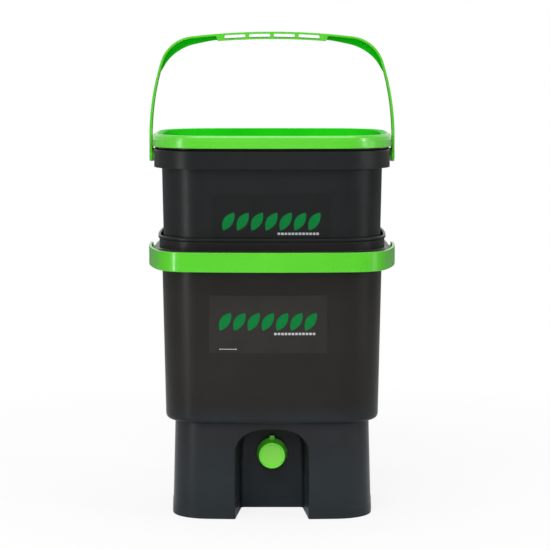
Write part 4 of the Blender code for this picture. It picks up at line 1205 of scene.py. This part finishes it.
def dress_bin(prefix):
    """The shells, handle, tap and label of one bin."""
    centre = Matrix.Translation((0.0, CENTRE_Y, RISES[prefix]))
    pivot = centre @ Matrix.Translation((0.0, 0.0, PIVOT_HEIGHT)) @ Matrix.Rotation(FOLDS[prefix], 4, "X")
    tap = centre @ Matrix.Translation((0.0, -recess_back(), TAP_HEIGHT))
    body = prefix + "_bin"
    handle_node = prefix + "_handle"
    knob_node = prefix + "_tap_knob"
    bucket = make_bucket(prefix + "_bucket_shell")
    settle(bucket, body, centre, "black_plastic", [prefix + "_bucket", prefix + "_base"])
    handle = make_handle(prefix + "_bail")
    # The handle's webs carry painted shade
    settle(handle, handle_node, pivot, "green_plastic", [handle_node], second=WEB_SHADE_GREEN)
    housing = make_tap_body(prefix + "_tap_housing")
    settle(housing, body, tap, "black_plastic", [prefix + "_tap_body"])
    knob = make_tap_knob(prefix + "_tap_cap")
    # The knob's face and sides carry painted light
    settle(knob, knob_node, tap, "green_plastic", [knob_node], KNOB_FACE_LIT_GREEN, KNOB_SIDE_LIT_GREEN)
    shift = LABEL_SHIFTS[prefix]
    label = make_label(prefix + "_label_face", shift)
    settle(label, body, centre, "label_film", [prefix + "_label"])
    leaves = make_print(prefix + "_label_leaves", leaf_outlines(shift))
    settle(leaves, body, centre, "label_film", material=INK_GREEN)
    dashes = make_print(prefix + "_label_dashes", dash_outlines(shift))
    settle(dashes, body, centre, "label_film", material=INK_PALE)


for prefix in RISES:
    dress_bin(prefix)
lid_place = Matrix.Translation((0.0, CENTRE_Y, NEST_RISE))
# The lid's tray carries painted shade
settle(make_lid("upper_lid_shell"), "upper_lid", lid_place, "green_plastic", ["upper_lid"], second=TRAY_SHADE_GREEN)

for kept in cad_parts.values():
    for index, old in enumerate(kept.data.materials):
        for slot_name, look in LOOKS.items():
            if old and old.name.startswith(slot_name):
                kept.material_slots[index].material = look


# Floor, light and camera

WHITE = (1.0, 1.0, 1.0, 1.0)
FLOOR_GREY = (0.88, 0.88, 0.88, 1.0)
FLOOR_HALF_SIZE = 40.0
FLOOR_DROP = 0.2 * MM
GLOW_NEAR = 0.3
GLOW_FAR = 1.2
GLOW_START = 0.85
WORLD_LEVEL = 0.05

SENSOR_WIDTH = 36.0
FOCAL_PIXELS = 2404.2
IMAGE_PIXELS = 550.0
VIEW_FAR = 100.0
VIEW_SHIFT = 0.0041
VIEW_DISTANCE = 3.3
VIEW_HEIGHT = 0.65553
VIEW_PITCH = math.radians(90.0 - 5.8112)

# Where the lamps aim
MIDDLE = (0.0, 0.0, 0.3)
KNOBS = (0.0, 0.0, 0.08)
BASE = (0.0, 0.0, 0.15)
UPPER = (0.0, 0.0, 0.5)
# Name, place, target, size, watts, seen in mirrored rays
LAMPS = [
    ("front_key", (-0.7, -2.7, 2.6), MIDDLE, (2.0, 1.4), 62.0, False),
    ("low_fill", (0.0, -2.3, 0.8), KNOBS, (0.8, 0.4), 20.0, False),
    ("left_box", (-2.3, -1.2, 0.75), MIDDLE, (0.4, 1.4), 6.0, True),
    ("left_strip", (-2.2, -1.25, 0.75), MIDDLE, (0.08, 1.4), 8.0, True),
    ("left_low", (-0.85, -0.55, 0.03), BASE, (0.05, 0.7), 1.2, True),
    ("right_box", (2.3, -1.2, 1.1), UPPER, (0.3, 0.9), 16.0, True),
    ("right_wide", (2.3, -0.5, 0.5), MIDDLE, (0.7, 1.0), 4.0, True),
    ("top_fill", (0.0, 0.3, 2.6), MIDDLE, (1.8, 1.8), 34.0, True),
]


def stage_floor():
    """A wide pale floor that shows as white with the object's soft shadow."""
    mesh_data = bmesh.new()
    bmesh.ops.create_grid(mesh_data, x_segments=2, y_segments=2, size=FLOOR_HALF_SIZE)
    floor = new_object("floor", mesh_data)
    floor.location.z = -FLOOR_DROP
    n = Nodes("pale_floor")
    n.set(Base_Color=FLOOR_GREY, Roughness=0.9, Specular_IOR_Level=0.1)
    rays = n.add("ShaderNodeLightPath")
    away = n.add("ShaderNodeVectorMath", Vector=n.coordinates)
    away.operation = "LENGTH"
    limits = {"From_Min": GLOW_NEAR, "From_Max": GLOW_FAR, "To_Min": GLOW_START}
    white = n.add("ShaderNodeMapRange", Value=away.outputs["Value"], **limits)
    seen = n.add("ShaderNodeMath", Value=rays.outputs["Is Camera Ray"])
    seen.operation = "MULTIPLY"
    glow = n.add("ShaderNodeEmission", Color=WHITE, Strength=1.0)
    mix = n.add("ShaderNodeMixShader", Fac=seen.outputs[0])
    n.tree.links.new(white.outputs["Result"], seen.inputs[1])
    n.tree.links.new(n.shader.outputs[0], mix.inputs[1])
    n.tree.links.new(glow.outputs[0], mix.inputs[2])
    n.tree.links.new(mix.outputs[0], n.tree.nodes["Material Output"].inputs["Surface"])
    floor.data.materials.append(n.material)


def stage_world():
    """Plain surroundings: white where they are seen or mirrored, softer as light."""
    world = bpy.data.worlds.new("studio")
    bpy.context.scene.world = world
    world.use_nodes = True
    tree = world.node_tree
    background = tree.nodes["Background"]
    background.inputs["Color"].default_value = WHITE
    rays = tree.nodes.new("ShaderNodeLightPath")
    seen = rays.outputs["Is Camera Ray"]
    for kind in ("Is Glossy Ray", "Is Transmission Ray"):
        either = tree.nodes.new("ShaderNodeMath")
        either.operation = "MAXIMUM"
        tree.links.new(seen, either.inputs[0])
        tree.links.new(rays.outputs[kind], either.inputs[1])
        seen = either.outputs[0]
    spread = tree.nodes.new("ShaderNodeMapRange")
    spread.inputs["To Min"].default_value = WORLD_LEVEL
    spread.inputs["To Max"].default_value = 1.0
    tree.links.new(seen, spread.inputs["Value"])
    tree.links.new(spread.outputs["Result"], background.inputs["Strength"])


def area_light(name, place, target, size, power, mirrored):
    """A soft rectangular lamp aimed at a point. One that is not mirrored only fills shade."""
    lamp = bpy.data.lights.new(name, "AREA")
    lamp.shape = "RECTANGLE"
    lamp.size, lamp.size_y = size
    lamp.energy = power
    obj = bpy.data.objects.new(name, lamp)
    obj.visible_glossy = mirrored
    obj.location = place
    obj.rotation_euler = (Vector(target) - Vector(place)).to_track_quat("-Z", "Y").to_euler()
    bpy.context.scene.collection.objects.link(obj)


def stage_camera():
    """The photograph's view: a little from above, with a long lens."""
    camera = bpy.data.cameras.new("view")
    camera.sensor_width = SENSOR_WIDTH
    camera.lens = SENSOR_WIDTH * FOCAL_PIXELS / IMAGE_PIXELS
    camera.clip_end = VIEW_FAR
    obj = bpy.data.objects.new("view", camera)
    obj.location = (VIEW_SHIFT, CENTRE_Y - VIEW_DISTANCE, VIEW_HEIGHT)
    obj.rotation_euler = (VIEW_PITCH, 0.0, 0.0)
    bpy.context.scene.collection.objects.link(obj)
    bpy.context.scene.camera = obj


stage_floor()
stage_world()
for lamp_row in LAMPS:
    area_light(*lamp_row)
stage_camera()
bpy.context.scene.view_settings.view_transform = "Standard"
